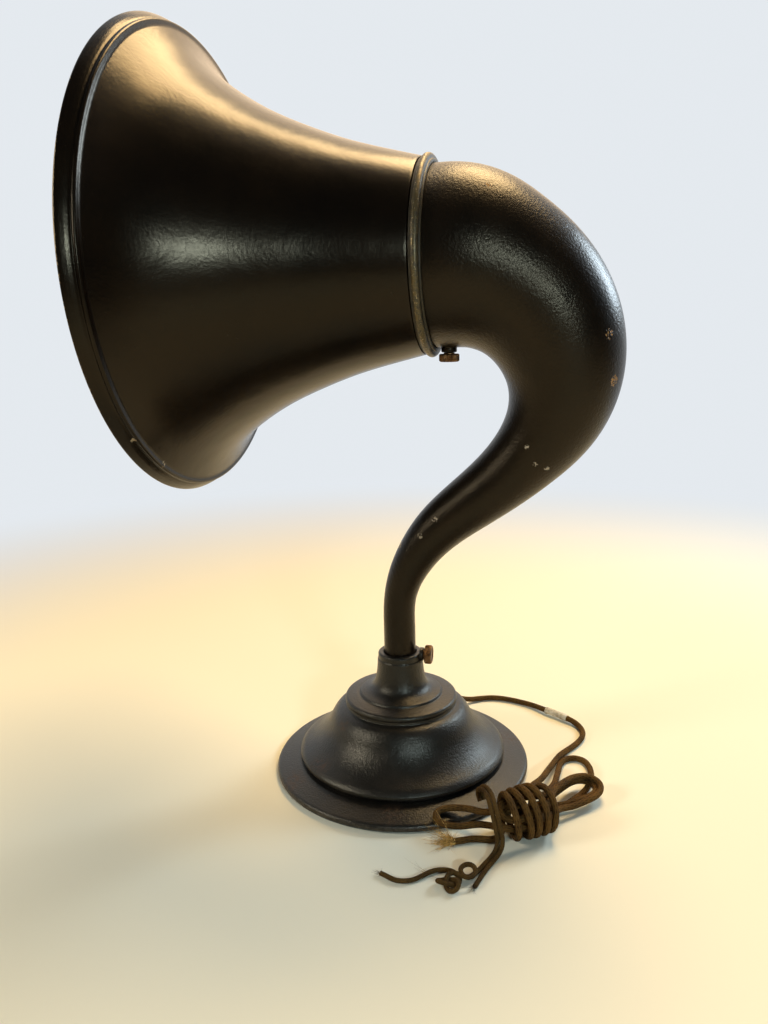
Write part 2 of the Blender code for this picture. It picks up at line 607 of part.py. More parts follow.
def bell_outline():
    """Section of the bell: spigot, flare, pressed step, convex rim band and turned lip."""
    outside = [(r, h) for h, r in sweep(BELL_FLARE, 10)]
    start = outside[0][1]
    outside += [(r, h) for h, r in scaled(BELL_RIM)] + [(BELL_R, BELL_DEPTH - 1.2 * MM)]
    inside = inset_line(outside, BELL_WALL)
    lip = [(BELL_R - 0.3 * MM, BELL_DEPTH), (BELL_R - 1.4 * MM, BELL_DEPTH)]
    spigot_in = SPIGOT_R - BELL_WALL
    neck = [(67.4 * MM, start + 2.6 * MM), (spigot_in, start + 0.5 * MM), (spigot_in, -SPIGOT_LENGTH),
            (SPIGOT_R, -SPIGOT_LENGTH), (SPIGOT_R, start)]
    return neck + outside + lip + inside[:0:-1]


def bell(steel):
    """Spun sheet bell."""
    return on_bell_axis(turned("bell", bell_outline(), SIDES, steel))


# ---------------------------------------------------------------- screws

def thumb_screw(name, tip_to_head, brass, place):
    """Disc-headed clamping screw, turned about local Z from its tip outwards."""
    head = tip_to_head
    top = head + THUMB_HEAD_H
    outline = [(0, 0), (1.6 * MM, 0), (THUMB_SHANK_R, 0.6 * MM), (THUMB_SHANK_R, head), (4.2 * MM, head),
               (4.2 * MM, head + 0.9 * MM), (THUMB_HEAD_R - 0.7 * MM, head + 0.9 * MM),
               (THUMB_HEAD_R, head + 1.6 * MM), (THUMB_HEAD_R, top - 0.9 * MM), (THUMB_HEAD_R - 0.9 * MM, top),
               (5.4 * MM, top), (4.8 * MM, top - 0.5 * MM), (0, top - 0.5 * MM)]
    screw = turned(name, outline, SMALL_SIDES, brass)
    screw.matrix_world = place
    return screw


# ---------------------------------------------------------------- cord

def bundle(name, plan, cloth):
    """Outer shape of a wound or looped stretch: an extruded outline with round ends."""
    first, last, half_width, low, high = plan
    heading = math.degrees(math.atan2(last[1] - first[1], last[0] - first[0]))
    points = arc(last, half_width, heading - 90, heading + 90, 7)
    points += arc(first, half_width, heading + 90, heading + 270, 7)
    return prism(name, scaled(points), low * MM, high * MM, cloth)


def tape_tag(tape):
    """Sleeve of tape round the cord, at the outside of its first bend."""
    sleeve = turned("cord_tape", [(3.1 * MM, -TAPE_HALF), (3.9 * MM, -TAPE_HALF), (3.9 * MM, TAPE_HALF),
                                  (3.1 * MM, TAPE_HALF)], 12, tape)
    sleeve.location = TAPE_CENTRE * MM
    sleeve.rotation_euler = TAPE_AHEAD.to_track_quat("Z", "Y").to_euler()
    return sleeve


def beside(route, offset, spacing):
    """A conductor's line at a steady distance beside a route, nowhere lower than the table lets it lie.

    The side is carried along the route without twist.
    """
    knots = np.array(route) * MM
    length = np.linalg.norm(np.diff(knots, axis=0), axis=1).sum()
    line = spline(knots, round(length / spacing) + 1)
    ahead = np.gradient(line, axis=0)
    ahead /= np.linalg.norm(ahead, axis=1)[:, None]
    side = np.cross(ahead[0], (0.0, 0.0, 1.0))
    moved = []
    for point, direction in zip(line, ahead):
        side = side - direction * (side @ direction)
        side = side / np.linalg.norm(side)
        x, y, height = point + offset * side
        moved.append((x, y, max(height, CORE_R + GAP)))
    return moved


def conductors(cloth):
    """The two bare-ended conductors, side by side and then apart on the table."""
    half = CORE_R + GAP
    tube("cord_core_1", beside(PAIR_ROUTE + CORE_1_END, half, 5 * MM), CORE_R, cloth)
    tube("cord_core_2", beside(PAIR_ROUTE + CORE_2_END, -half, 5 * MM), CORE_R, cloth)
    routed_tube("cord_tip", TIP_ROUTE, CORE_R, 5 * MM, cloth)


def knot(cloth):
    """Knot in the second conductor."""
    bm = bmesh.new()
    bmesh.ops.create_icosphere(bm, subdivisions=2, radius=1.0)
    size = Matrix.Diagonal((*(KNOT_HALF * MM), 1))
    bmesh.ops.transform(bm, matrix=Matrix.Translation(KNOT_CENTRE * MM) @ size, verts=bm.verts)
    return from_bmesh("cord_knot", bm, cloth)


def fray(cloth):
    """End of the cord's braid beside the bundle, opening into a tuft."""
    ahead = FRAY_TIP - FRAY_START
    length = ahead.length * MM
    outline = [(0, 0), (CORD_R, 0), (CORD_R, 0.5 * length), (TUFT_R, 0.85 * length), (0.6 * TUFT_R, length),
               (0, length)]
    end = turned("cord_fray", outline, 12, cloth)
    end.location = FRAY_START * MM
    end.rotation_euler = ahead.to_track_quat("Z", "Y").to_euler()
    return end


# ---------------------------------------------------------------- assembly

def main():
    """Build every piece."""
    clear_scene()
    iron = finish("black_casting", (0.022, 0.021, 0.022), 0.42)
    neck_paint = finish("neck_paint", (0.024, 0.018, 0.014), 0.38)
    bell_paint = finish("bell_enamel", (0.020, 0.013, 0.009), 0.30)
    bead_metal = finish("worn_bead", (0.16, 0.12, 0.06), 0.45, 0.7)
    brass = finish("aged_brass", (0.30, 0.16, 0.08), 0.45, 0.9)
    felt = finish("felt", (0.05, 0.09, 0.05), 0.95)
    sheet = finish("cover_sheet", (0.18, 0.18, 0.18), 0.5, 0.8)
    steel = finish("magnet_steel", (0.30, 0.05, 0.04), 0.5)
    soft_iron = finish("soft_iron", (0.35, 0.35, 0.36), 0.4, 1.0)
    black = finish("driver_black", (0.03, 0.03, 0.03), 0.5)
    paper = finish("fish_paper", (0.25, 0.18, 0.10), 0.9)
    fibre = finish("red_fibre", (0.20, 0.05, 0.03), 0.7)
    wire = finish("coil_wire", (0.20, 0.12, 0.03), 0.6)
    screw_steel = finish("screw_steel", (0.45, 0.44, 0.42), 0.35, 1.0)
    cloth = finish("cord_cloth", (0.10, 0.055, 0.025), 0.9)
    tape = finish("white_tape", (0.75, 0.70, 0.62), 0.8)
    rubber = finish("gasket_rubber", (0.03, 0.03, 0.03), 0.85)

    base_ring(iron)
    felt_pad(felt)
    bottom_cover(sheet)
    base_casting(iron)
    cord_bushing(fibre)
    screws("base_screw", [around(BASE_SCREW_CIRCLE, a) for a in BASE_SCREW_ANGLES],
           1.9 * MM, 3.6 * MM, 1.7 * MM, 4.7 * MM, 20 * MM, screw_steel)
    screws("cover_screw", [around(COVER_SCREW_CIRCLE, a) for a in COVER_SCREW_ANGLES],
           1.2 * MM, 2.6 * MM, 1.45 * MM, 2.1 * MM, 9.2 * MM, screw_steel)

    cap = driver_cap(black)
    case = driver_case(black)
    driver_holes = [(1.8 * MM, 30 * MM, 56 * MM, around(DRIVER_SCREW_CIRCLE, a)) for a in DRIVER_SCREW_ANGLES]
    tool = as_tool(cylinders("driver_holes", driver_holes, black))
    boolean(cap, "DIFFERENCE", tool)
    boolean(case, "DIFFERENCE", tool)
    screws("driver_screw", [around(DRIVER_SCREW_CIRCLE, a) for a in DRIVER_SCREW_ANGLES],
           1.4 * MM, 2.8 * MM, 35.4 * MM, 37.7 * MM, 54 * MM, screw_steel)
    gasket("gasket_lower", FLANGE_TOP + GAP, paper)
    diaphragm(soft_iron)
    gasket("gasket_upper", FLANGE_TOP + 1.9 * MM, paper)
    magnet(steel)
    for number, side in ((1, 1), (2, -1)):
        pole_piece(f"pole_piece_{number}", side, soft_iron)
        coil(f"coil_{number}", side, wire)
        lead_wire(f"lead_wire_{number}", side, cloth)
    terminal_block(fibre)
    screws("terminal_screw", terminal_places(), 1.0 * MM, 2.6 * MM, 10.6 * MM, 12.9 * MM, 13.0 * MM, brass)
    turned("throat_gasket", [(9.6 * MM, SOCKET_FLOOR + GAP), (13.0 * MM, SOCKET_FLOOR + GAP),
                             (13.0 * MM, 74.0 * MM), (9.6 * MM, 74.0 * MM)], UNIT_SIDES, rubber)

    gooseneck(neck_paint)
    neck_bead(bead_metal)
    bell(bell_paint)

    thumb_screw("collar_screw", COLLAR_BOSS_END + GAP - STEM_R - 0.5 * MM, brass,
                radial(math.pi / 2, COLLAR_SCREW_H) @ Matrix.Translation((0, 0, STEM_R + 0.5 * MM)))
    down = Matrix.Translation((0, BELL_SCREW_Y, BELL_AXIS_H)) @ Matrix.Rotation(math.pi, 4, "X")
    thumb_screw("bell_screw", BELL_BOSS_END + GAP - SPIGOT_R - 0.5 * MM, brass,
                down @ Matrix.Translation((0, 0, SPIGOT_R + 0.5 * MM)))

    routed_tube("cord_run", CORD_ROUTE, CORD_R, 9 * MM, cloth)
    tape_tag(tape)
    bundle("cord_hank", HANK, cloth)
    bundle("cord_loop_1", LOOP_1, cloth)
    bundle("cord_loop_2", LOOP_2, cloth)
    bundle("cord_loop_3", LOOP_3, cloth)
    conductors(cloth)
    knot(cloth)
    fray(cloth)


main()
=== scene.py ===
import bmesh
import bpy
import numpy as np
from mathutils import Matrix, Vector


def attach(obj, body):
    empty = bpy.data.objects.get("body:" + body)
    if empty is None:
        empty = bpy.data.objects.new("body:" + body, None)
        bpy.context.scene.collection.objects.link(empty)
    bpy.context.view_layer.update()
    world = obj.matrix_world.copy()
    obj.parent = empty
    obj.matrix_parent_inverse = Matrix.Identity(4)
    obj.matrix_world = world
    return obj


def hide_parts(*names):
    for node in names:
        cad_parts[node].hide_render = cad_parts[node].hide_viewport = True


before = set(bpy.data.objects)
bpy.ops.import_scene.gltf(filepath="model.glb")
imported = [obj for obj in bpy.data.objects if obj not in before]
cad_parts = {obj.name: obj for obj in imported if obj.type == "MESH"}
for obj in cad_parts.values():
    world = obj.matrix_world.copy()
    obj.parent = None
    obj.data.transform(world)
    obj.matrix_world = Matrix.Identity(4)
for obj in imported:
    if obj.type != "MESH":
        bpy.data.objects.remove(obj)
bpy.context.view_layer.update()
MM = 0.001

# ------------ table top and light
# A cream table top carries the loudspeaker and fades into a pale backdrop behind it.  A warm soft
# box and a warm wall light the bell from above, three windows stand round it, and a weak ceiling
# and a dim room fill the shadows.

BACKDROP = (0.78, 0.82, 0.86)
BACKDROP_SIDE = (-0.96, -0.22, 0.16)
BACKDROP_EDGE = (0.05, 0.75)
STUDIO = (0.62, 0.74, 0.92)
STUDIO_STRENGTH = 0.07
TABLE_COLOUR = (0.87, 0.82, 0.66)
TABLE_FADE = (0.45, 1.25)
TABLE_BEHIND = (0.0, 0.4)
TABLE_HALF = 6.0


def arithmetic(operation):
    """An operator that adds a Math node, and its reflected form."""

    def join(shading, first, second):
        return shading.node("ShaderNodeMath", {"operation": operation}, {0: first, 1: second})

    return (lambda tone, other: join(tone.shading, tone, other),
            lambda tone, other: join(tone.shading, other, tone))


class Tone:
    """A value that varies over a surface: arithmetic on it adds the Math nodes that work it out."""

    def __init__(self, shading, socket):
        self.shading = shading
        self.socket = socket

    __add__, __radd__ = arithmetic("ADD")
    __sub__, __rsub__ = arithmetic("SUBTRACT")
    __mul__, __rmul__ = arithmetic("MULTIPLY")
    __truediv__, __rtruediv__ = arithmetic("DIVIDE")


class Shading:
    """A node tree that grows one node at a time."""

    def __init__(self, owner):
        owner.use_nodes = True
        self.tree = owner.node_tree

    def node(self, kind, settings=None, inputs=None, output=0):
        """Add a node: its settings first, then the values or links of its sockets."""
        item = self.tree.nodes.new(kind)
        for key, value in (settings or {}).items():
            setattr(item, key, value)
        for key, value in (inputs or {}).items():
            self.feed(item.inputs[key], value)
        return Tone(self, item.outputs[output])

    def feed(self, socket, value):
        """Link a Tone to a socket, or set a plain value on it."""
        if isinstance(value, Tone):
            self.tree.links.new(value.socket, socket)
        elif isinstance(value, tuple) and socket.type == "RGBA":
            socket.default_value = (*value, 1.0)
        else:
            socket.default_value = value

    def vector(self, operation, first, second=None, output="Value"):
        """Vector Math on one vector or two."""
        inputs = {0: first} if second is None else {0: first, 1: second}
        return self.node("ShaderNodeVectorMath", {"operation": operation}, inputs, output)

    def rise(self, value, low, high):
        """0 below low, 1 above high and a smooth rise between."""
        return self.node("ShaderNodeMapRange", {"interpolation_type": "SMOOTHSTEP"},
                         {"Value": value, "From Min": low, "From Max": high})

    def seen(self, kind):
        """1 for a ray of one kind, such as a camera ray, and 0 for the rest."""
        return self.node("ShaderNodeLightPath", output=f"Is {kind} Ray")


mesh = bpy.data.meshes.new("table_top")
mesh.from_pydata(TABLE_HALF * np.array([(-1, -1, 0), (1, -1, 0), (1, 1, 0), (-1, 1, 0)]), [], [(0, 1, 2, 3)])
table_top = bpy.data.objects.new("table_top", mesh)
bpy.context.scene.collection.objects.link(table_top)
table_paint = bpy.data.materials.new("table_paint")
cloth = Shading(table_paint)
cloth_shader = table_paint.node_tree.nodes["Principled BSDF"]
for key, value in (("Base Color", TABLE_COLOUR), ("Roughness", 0.95), ("Specular IOR Level", 0.05)):
    cloth.feed(cloth_shader.inputs[key], value)
spot = cloth.node("ShaderNodeTexCoord", output="Object")
away = cloth.vector("LENGTH", spot)
behind = cloth.rise(cloth.vector("DOT_PRODUCT", spot, BACKDROP_SIDE), *TABLE_BEHIND)
far = cloth.rise(away, *TABLE_FADE)
shown = cloth.seen("Camera") + behind * (cloth.seen("Glossy") + cloth.seen("Transmission"))
fade = far * shown
glow = cloth.node("ShaderNodeEmission", {}, {"Color": BACKDROP})
cloth.feed(table_paint.node_tree.nodes["Material Output"].inputs["Surface"],
           cloth.node("ShaderNodeMixShader", {}, {0: fade, 1: Tone(cloth, cloth_shader.outputs[0]), 2: glow}))
table_top.data.materials.append(table_paint)

world = bpy.data.worlds.new("studio")
studio = Shading(world)
dim = studio.node("ShaderNodeBackground", {}, {"Color": STUDIO, "Strength": STUDIO_STRENGTH})
pale = studio.node("ShaderNodeBackground", {}, {"Color": BACKDROP})
direction = studio.node("ShaderNodeTexCoord", output="Generated")
behind = studio.rise(studio.vector("DOT_PRODUCT", direction, BACKDROP_SIDE), *BACKDROP_EDGE)
shown = studio.seen("Camera") + behind * (studio.seen("Glossy") + studio.seen("Transmission"))
studio.feed(world.node_tree.nodes["World Output"].inputs["Surface"],
            studio.node("ShaderNodeMixShader", {}, {0: shown, 1: dim, 2: pale}))
bpy.context.scene.world = world


def soft_box(name, place, target, width, height, watts, colour, mirrored=True):
    """An area lamp at a place, turned towards a target point and unseen by the camera."""
    lamp = bpy.data.lights.new(name, "AREA")
    lamp.shape = "RECTANGLE"
    lamp.size = width
    lamp.size_y = height
    lamp.energy = watts
    lamp.color = colour
    item = bpy.data.objects.new(name, lamp)
    item.location = place
    item.rotation_euler = (Vector(target) - Vector(place)).to_track_quat("-Z", "Y").to_euler()
    item.visible_camera = False
    item.visible_glossy = mirrored
    bpy.context.scene.collection.objects.link(item)


soft_box("warm_box", (-0.53, 0.24, 1.50), (0.0, 0.0, 0.35), 0.66, 0.54, 21.0, (1.0, 0.71, 0.35))
soft_box("warm_wall", (-1.80, -0.20, 1.55), (0.0, -0.1, 0.40), 1.70, 1.50, 11.0, (1.0, 0.60, 0.20))
soft_box("side_window", (1.15, 0.68, 0.60), (0.05, 0.0, 0.40), 0.22, 0.07, 6.5, (0.72, 0.92, 1.0))
soft_box("back_window", (-0.95, 1.05, 0.90), (0.0, 0.1, 0.35), 0.40, 0.54, 13.5, (0.70, 0.86, 1.0))
soft_box("front_window", (0.68, -1.05, 0.72), (0.0, 0.05, 0.25), 0.34, 0.34, 8.0, (1.0, 0.94, 0.80))
soft_box("ceiling", (0.75, 0.25, 2.1), (0.1, 0.1, 0.0), 1.2, 1.2, 1.0, (0.96, 0.97, 1.0), mirrored=False)
bpy.context.scene.view_settings.view_transform = "Standard"

# ------------ camera
# The view is from the side of the bell and a little behind it, at the height of the neck.  It is
# given by its heading, its dip below the horizon and its roll about the line of sight.

CAMERA_PLACE = Vector((0.6416, 0.1446, 0.3787))
CAMERA_HEADING = np.radians(-166.365)
CAMERA_DIP = np.radians(13.287)
CAMERA_ROLL = -0.0247
LENS = 29.24

lens = bpy.data.cameras.new("camera")
lens.lens = LENS
lens.clip_start = 0.01
camera = bpy.data.objects.new("camera", lens)
camera.matrix_world = (Matrix.Translation(CAMERA_PLACE) @ Matrix.Rotation(CAMERA_HEADING - np.pi / 2, 4, "Z")
                       @ Matrix.Rotation(np.pi / 2 - CAMERA_DIP, 4, "X") @ Matrix.Rotation(CAMERA_ROLL, 4, "Z"))
bpy.context.scene.collection.objects.link(camera)
bpy.context.scene.camera = camera

# ------------ base ring
# Heavy cast-iron ring under the dome: rounded rim, sloping flange and a flat land.  It is sand
# cast, turned on its upper face and finished in black japan, worn brown along the rim.

RIM_MIDDLE = (104.3, 4.1)
RIM_RADIUS = 3.4
RING_OUTLINE = [(89.5, 11.5), (88.0, 12.0), (58.0, 12.0), (58.0, 3.7), (66.5, 3.7), (66.5, 1.4), (101.4, 1.4),
                (101.4, 0.8)]
RING_WORN = [((0.0957, 0.0110, 0.0095), 0.014), ((0.0650, -0.0800, 0.0080), 0.020),
             ((-0.040, 0.0920, 0.0080), 0.020)]
JAPAN = (0.0050, 0.0042, 0.0034)
JAPAN_WORN = (0.011, 0.0085, 0.0062)
JAPAN_SHEEN = (1.0, 0.94, 0.80)
RUST = (0.050, 0.024, 0.013)
BARE_IRON = (0.060, 0.046, 0.034)
RIM_WORN = (0.1066, 0.1076)
TURNED_SIDES = 256


class Finish(Shading):
    """One material: a Principled shader, with the nodes that feed it."""

    def __init__(self, name, roughness=0.5, metallic=0.0, **constants):
        self.material = bpy.data.materials.new(name)
        super().__init__(self.material)
        self.shader = self.tree.nodes["Principled BSDF"]
        self.put(Roughness=roughness, Metallic=metallic, **constants)
        self.place = self.node("ShaderNodeTexCoord", output="Object")

    def put(self, **values):
        """Feed the shader's own sockets, named with underscores."""
        for key, value in values.items():
            self.feed(self.shader.inputs[key.replace("_", " ")], value)

    def mix(self, factor, first, second):
        """One colour fading into another."""
        return self.node("ShaderNodeMix", {"data_type": "RGBA"}, {0: factor, 6: first, 7: second}, output=2)

    def tint(self, factor, first, second):
        """The base colour, from one colour fading into another."""
        self.put(Base_Color=self.mix(factor, first, second))

    def noise(self, size, detail=3.0, rough=0.55, vector=None):
        """Cloudy noise from 0 to 1 with lumps of about a size in metres."""
        return self.node("ShaderNodeTexNoise", {}, {"Vector": vector or self.place, "Scale": 1.0 / size,
                                                    "Detail": detail, "Roughness": rough})

    def axis(self, name, vector=None):
        """The X, Y or Z of a vector, or of the object coordinates."""
        return self.node("ShaderNodeSeparateXYZ", {}, {"Vector": vector or self.place}, output=name)

    def wave(self, angle):
        """The sine of an angle."""
        return self.node("ShaderNodeMath", {"operation": "SINE"}, {0: angle})

    def near(self, centre, radius):
        """1 at a place on the piece, fading to 0 at a radius round it."""
        return 1 - self.rise(self.vector("DISTANCE", self.place, centre), 0.25 * radius, radius)

    def bump(self, *layers):
        """Stack bump layers of (height, distance in metres, strength) and feed the normal."""
        normal = {}
        for height, distance, strength in layers:
            inputs = {"Height": height, "Distance": distance, "Strength": strength}
            normal = {"Normal": self.node("ShaderNodeBump", {}, inputs | normal)}
        self.put(**normal)


def eased(outline, cut, steps=4):
    """A closed outline with each corner replaced by a small parabola.

    The curve leaves both sides at the cut distance, or at 0.45 of a shorter side.
    """
    middle = np.array(outline, float)
    curve = []
    for side in (np.roll(middle, 1, axis=0), np.roll(middle, -1, axis=0)):
        reach = np.linalg.norm(side - middle, axis=1, keepdims=True)
        curve.append(middle + (side - middle) * np.minimum(cut / np.maximum(reach, 1e-9), 0.45))
    t = np.linspace(0.0, 1.0, steps)[None, :, None]
    before, after = curve[0][:, None], curve[1][:, None]
    return ((1 - t) ** 2 * before + 2 * t * (1 - t) * middle[:, None] + t ** 2 * after).reshape(-1, 2)


def grid_piece(name, points, body, finish, sharp=40.0, closed=True, uv=None):
    """A mesh from a grid of points (row, column, xyz): columns close round, rows close when asked.

    Faces join each point to its neighbours in the next row and column.  Poles are merged, and
    the whole is turned so that its faces point out.
    """
    rows, columns = points.shape[:2]
    i, j = np.meshgrid(np.arange(rows if closed else rows - 1), np.arange(columns), indexing="ij")
    after = (j + 1) % columns
    corners = np.stack([i * columns + j, i * columns + after, (i + 1) % rows * columns + after,
                        (i + 1) % rows * columns + j], axis=-1).reshape(-1, 4)
    mesh = bpy.data.meshes.new(name)
    mesh.from_pydata(points.reshape(-1, 3), [], corners)
    if uv is not None:
        layer = mesh.uv_layers.new(name="length_round")
        u = np.stack([i, i, i + 1, i + 1], axis=-1) * uv[0]
        v = np.stack([j, j + 1, j + 1, j], axis=-1) * uv[1]
        layer.data.foreach_set("uv", np.stack([u, v], axis=-1).astype(np.float32).ravel())
    return finish_mesh(name, mesh, body, finish, sharp)


def finish_mesh(name, mesh, body, finish, sharp):
    """Merge doubles, turn the faces out, shade and give the piece its body and finish."""
    bm = bmesh.new()
    bm.from_mesh(mesh)
    bmesh.ops.remove_doubles(bm, verts=bm.verts, dist=1e-7)
    bmesh.ops.recalc_face_normals(bm, faces=bm.faces)
    bm.to_mesh(mesh)
    bm.free()
    mesh.shade_smooth()
    mesh.set_sharp_from_angle(angle=np.radians(sharp))
    mesh.materials.append(finish.material)
    item = bpy.data.objects.new(name, mesh)
    bpy.context.scene.collection.objects.link(item)
    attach(item, body)
    return item


def turned(outline, sides, place=None):
    """Grid of a turned shape: the outline (radius, height) carried round Z, then placed."""
    outline = np.array(outline, float) * MM
    angle = 2 * np.pi * np.arange(sides) / sides
    radius, height = outline[:, :1], outline[:, 1:]
    grid = np.stack([radius * np.cos(angle), radius * np.sin(angle), height + 0 * angle], axis=-1)
    return placed(grid, place)


def placed(points, place):
    """Points carried into the frame of their piece, where it has one."""
    if place is None:
        return points
    matrix = np.array(place)
    return points @ matrix[:3, :3].T + matrix[:3, 3]


def arc(centre, radius, start, end, count):
    """Points along an arc of an outline, angles in degrees from the outward direction."""
    angle = np.radians(np.linspace(start, end, count))
    return [(centre[0] + radius * c, centre[1] + radius * s) for c, s in zip(np.cos(angle), np.sin(angle))]


def black_japan(name, worn_places, edge=None):
    """Black japan over sand-cast iron: fine sand grain, soft clouds, brown rust where it has worn."""
    finish = Finish(name, Specular_IOR_Level=0.46, Specular_Tint=JAPAN_SHEEN)
    cloud = finish.noise(0.022, detail=4.0)
    sand = finish.noise(0.0015, detail=2.0, rough=0.6)
    pit = finish.rise(finish.noise(0.0026, rough=0.6), 0.60, 0.72)
    speck = finish.noise(0.0035, detail=5.0, rough=0.7)
    rust = finish.rise(cloud * 0.55 + speck * 0.45, 0.60, 0.74) * 0.4
    for centre, radius in worn_places:
        rust = rust + finish.near(centre, radius) * finish.rise(speck, 0.40, 0.66) * 0.7
    colour = finish.mix(finish.rise(cloud, 0.35, 0.70), JAPAN, JAPAN_WORN)
    colour = finish.mix(rust, colour, RUST)
    if edge:
        colour = finish.mix(edge(finish) * finish.rise(speck, 0.36, 0.66), colour, BARE_IRON)
    finish.put(Base_Color=colour)
    finish.put(Roughness=0.31 + 0.22 * cloud * sand + 0.25 * rust)
    finish.bump((sand, 0.00060, 0.6), (pit, 0.00012, 0.5), (cloud, 0.0005, 0.3))
    return finish


def rim_wear(finish):
    """1 along the widest line of the ring's rim."""
    across = finish.vector("MULTIPLY", finish.place, (1.0, 1.0, 0.0), output="Vector")
    return finish.rise(finish.vector("LENGTH", across), *RIM_WORN) * 0.7


ring_finish = black_japan("black_japan_ring", RING_WORN, rim_wear)
outline = arc(RIM_MIDDLE, RIM_RADIUS, -75, 75, 12) + RING_OUTLINE
ring = grid_piece("base_ring_fine", turned(eased(outline, 0.6), TURNED_SIDES), "base", ring_finish)
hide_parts("base_ring")

# ------------ felt, cover and its screws
# A green baize disc is glued under the ring.  A dull plated sheet closes the ring above it, held
# by three small screws, and four larger screws clamp the ring to the dome.

BAIZE_DARK = (0.012, 0.030, 0.014)
BAIZE_LIGHT = (0.045, 0.080, 0.040)


def dress(finish, *nodes):
    """Give a finish to pieces whose plain shape is right."""
    for name in nodes:
        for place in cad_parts[name].material_slots:
            place.material = finish.material


baize = Finish("green_baize", roughness=0.95, Specular_IOR_Level=0.2)
nap = baize.noise(0.0008, detail=4.0, rough=0.75)
baize.tint(nap * 0.7 + baize.noise(0.03) * 0.3, BAIZE_DARK, BAIZE_LIGHT)
baize.bump((nap, 0.0005, 0.9))
dress(baize, "felt_pad")


def plated_metal(name, dark, light, roughness, metallic=1.0):
    """Bare or plated metal: faint clouds of tarnish and fine scratches from handling."""
    finish = Finish(name, metallic=metallic)
    cloud = finish.noise(0.006, detail=4.0)
    drawn = finish.vector("MULTIPLY", finish.place, (1.0, 0.25, 1.0), output="Vector")
    scratch = finish.noise(0.0006, detail=2.0, vector=drawn)
    finish.tint(finish.rise(cloud, 0.3, 0.7), dark, light)
    finish.put(Roughness=roughness * 0.7 + roughness * 0.6 * cloud * scratch + 0.05)
    finish.bump((scratch, 0.00004, 0.5))
    return finish


dress(plated_metal("dull_plate", (0.14, 0.14, 0.135), (0.27, 0.265, 0.25), 0.5, 0.9), "bottom_cover")
steel = plated_metal("screw_steel", (0.30, 0.29, 0.27), (0.52, 0.50, 0.47), 0.35)
dress(steel, *[f"base_screw_{k}" for k in range(1, 5)], *[f"cover_screw_{k}" for k in range(1, 4)],
      *[f"driver_screw_{k}" for k in range(1, 4)])

# ------------ dome casting
# Bell-shaped iron casting with a thin collar on top.  It stands on the ring with a recessed foot,
# so its lip throws a dark line, and round bosses on it carry the collar's screw and the cord.

DOME_SWEEP = [(87.3, 18.2), (85.2, 20.6), (80.6, 23.6), (75.2, 27.0), (70.2, 31.2), (65.6, 36.2),
              (61.9, 41.6), (59.2, 46.8), (56.2, 51.4), (52.6, 55.0), (49.6, 56.6)]
COLLAR_SWEEP = [(34.2, 68.4), (28.5, 70.2), (23.6, 73.6), (21.2, 79.0), (19.8, 87.0), (19.0, 97.0)]
COLLAR_TOP = [(13.9, 64.0), (13.9, 72.3), (13.9, 90.0), (13.9, 103.0), (17.4, 103.0), (18.4, 101.8), (18.4, 98.2),
              (18.5, 97.5)]
SHOULDER_STEP = [(34.8, 67.2), (35.2, 66.4), (38.0, 66.2)]
SHOULDER_MIDDLE = (44.6, 62.0)
SHOULDER_ROUND = 2.9
SHOULDER_FOOT = (47.0, 57.4)
DOME_FOOT = [(87.5, 16.0), (83.6, 16.0), (83.6, 12.3), (77.0, 12.3), (70.0, 26.0), (58.0, 40.0), (46.0, 52.0),
             (22.0, 63.0)]
COLLAR_SCREW_H = 101.0
CORD_ANGLE = 165.0
CORD_HOLE_H = 24.0
COLLAR_BOSS = (5.6, 2.6, 17.4, 20.3, 0.4)
CORD_BOSS = (6.3, 4.2, 76.0, 87.3, 3.5)
SMALL_SIDES = 48
DOME_WORN = [((0.0600, -0.0560, 0.0210), 0.016), ((0.040, -0.040, 0.050), 0.010)]


def spline(points, count):
    """Natural cubic through the points, read at equal steps of chord length.

    The second derivatives solve one tridiagonal system; each stretch is then the usual cubic of
    its two end points and two end bends.
    """
    knots = np.array(points, float)
    spans = np.linalg.norm(np.diff(knots[:, :3], axis=0), axis=1)
    at = np.concatenate([[0.0], np.cumsum(spans)])
    size = len(knots)
    matrix, right, inner = np.eye(size), np.zeros_like(knots), np.arange(1, size - 1)
    matrix[inner, inner - 1] = spans[:-1]
    matrix[inner, inner] = 2 * (spans[:-1] + spans[1:])
    matrix[inner, inner + 1] = spans[1:]
    slope = np.diff(knots, axis=0) / spans[:, None]
    right[1:-1] = 6 * np.diff(slope, axis=0)
    bend = np.linalg.solve(matrix, right)
    where = np.linspace(0.0, at[-1], count)
    i = np.clip(np.searchsorted(at, where, side="right") - 1, 0, size - 2)
    span, left, done = spans[i][:, None], (at[i + 1] - where)[:, None], (where - at[i])[:, None]
    return ((bend[i] * left ** 3 + bend[i + 1] * done ** 3) / (6 * span)
            + (knots[i] / span - bend[i] * span / 6) * left
            + (knots[i + 1] / span - bend[i + 1] * span / 6) * done)


def sideways(angle, height):
    """A frame at a height on the axis whose Z points outwards at an angle."""
    turn = Matrix.Rotation(np.radians(angle), 4, "Z") @ Matrix.Rotation(np.pi / 2, 4, "Y")
    return Matrix.Translation((0, 0, height * MM)) @ turn


def boss(name, place, sizes, body, finish):
    """A round boss with a bore: a cylinder from root to end whose foot flares into the casting.

    The flare is a quarter circle: radius + fillet - sqrt(fillet^2 - (fillet - rise)^2).
    """
    radius, bore, root, end, fillet = sizes
    rise = np.linspace(0.0, fillet, 8)
    foot = [(radius + fillet - np.sqrt(fillet ** 2 - (fillet - up) ** 2), root + up) for up in rise]
    outline = [(bore, root)] + foot + [(radius, end - 0.6), (radius - 0.6, end), (bore, end)]
    return grid_piece(name, turned(eased(outline, 0.3, 3), SMALL_SIDES, place), body, finish)


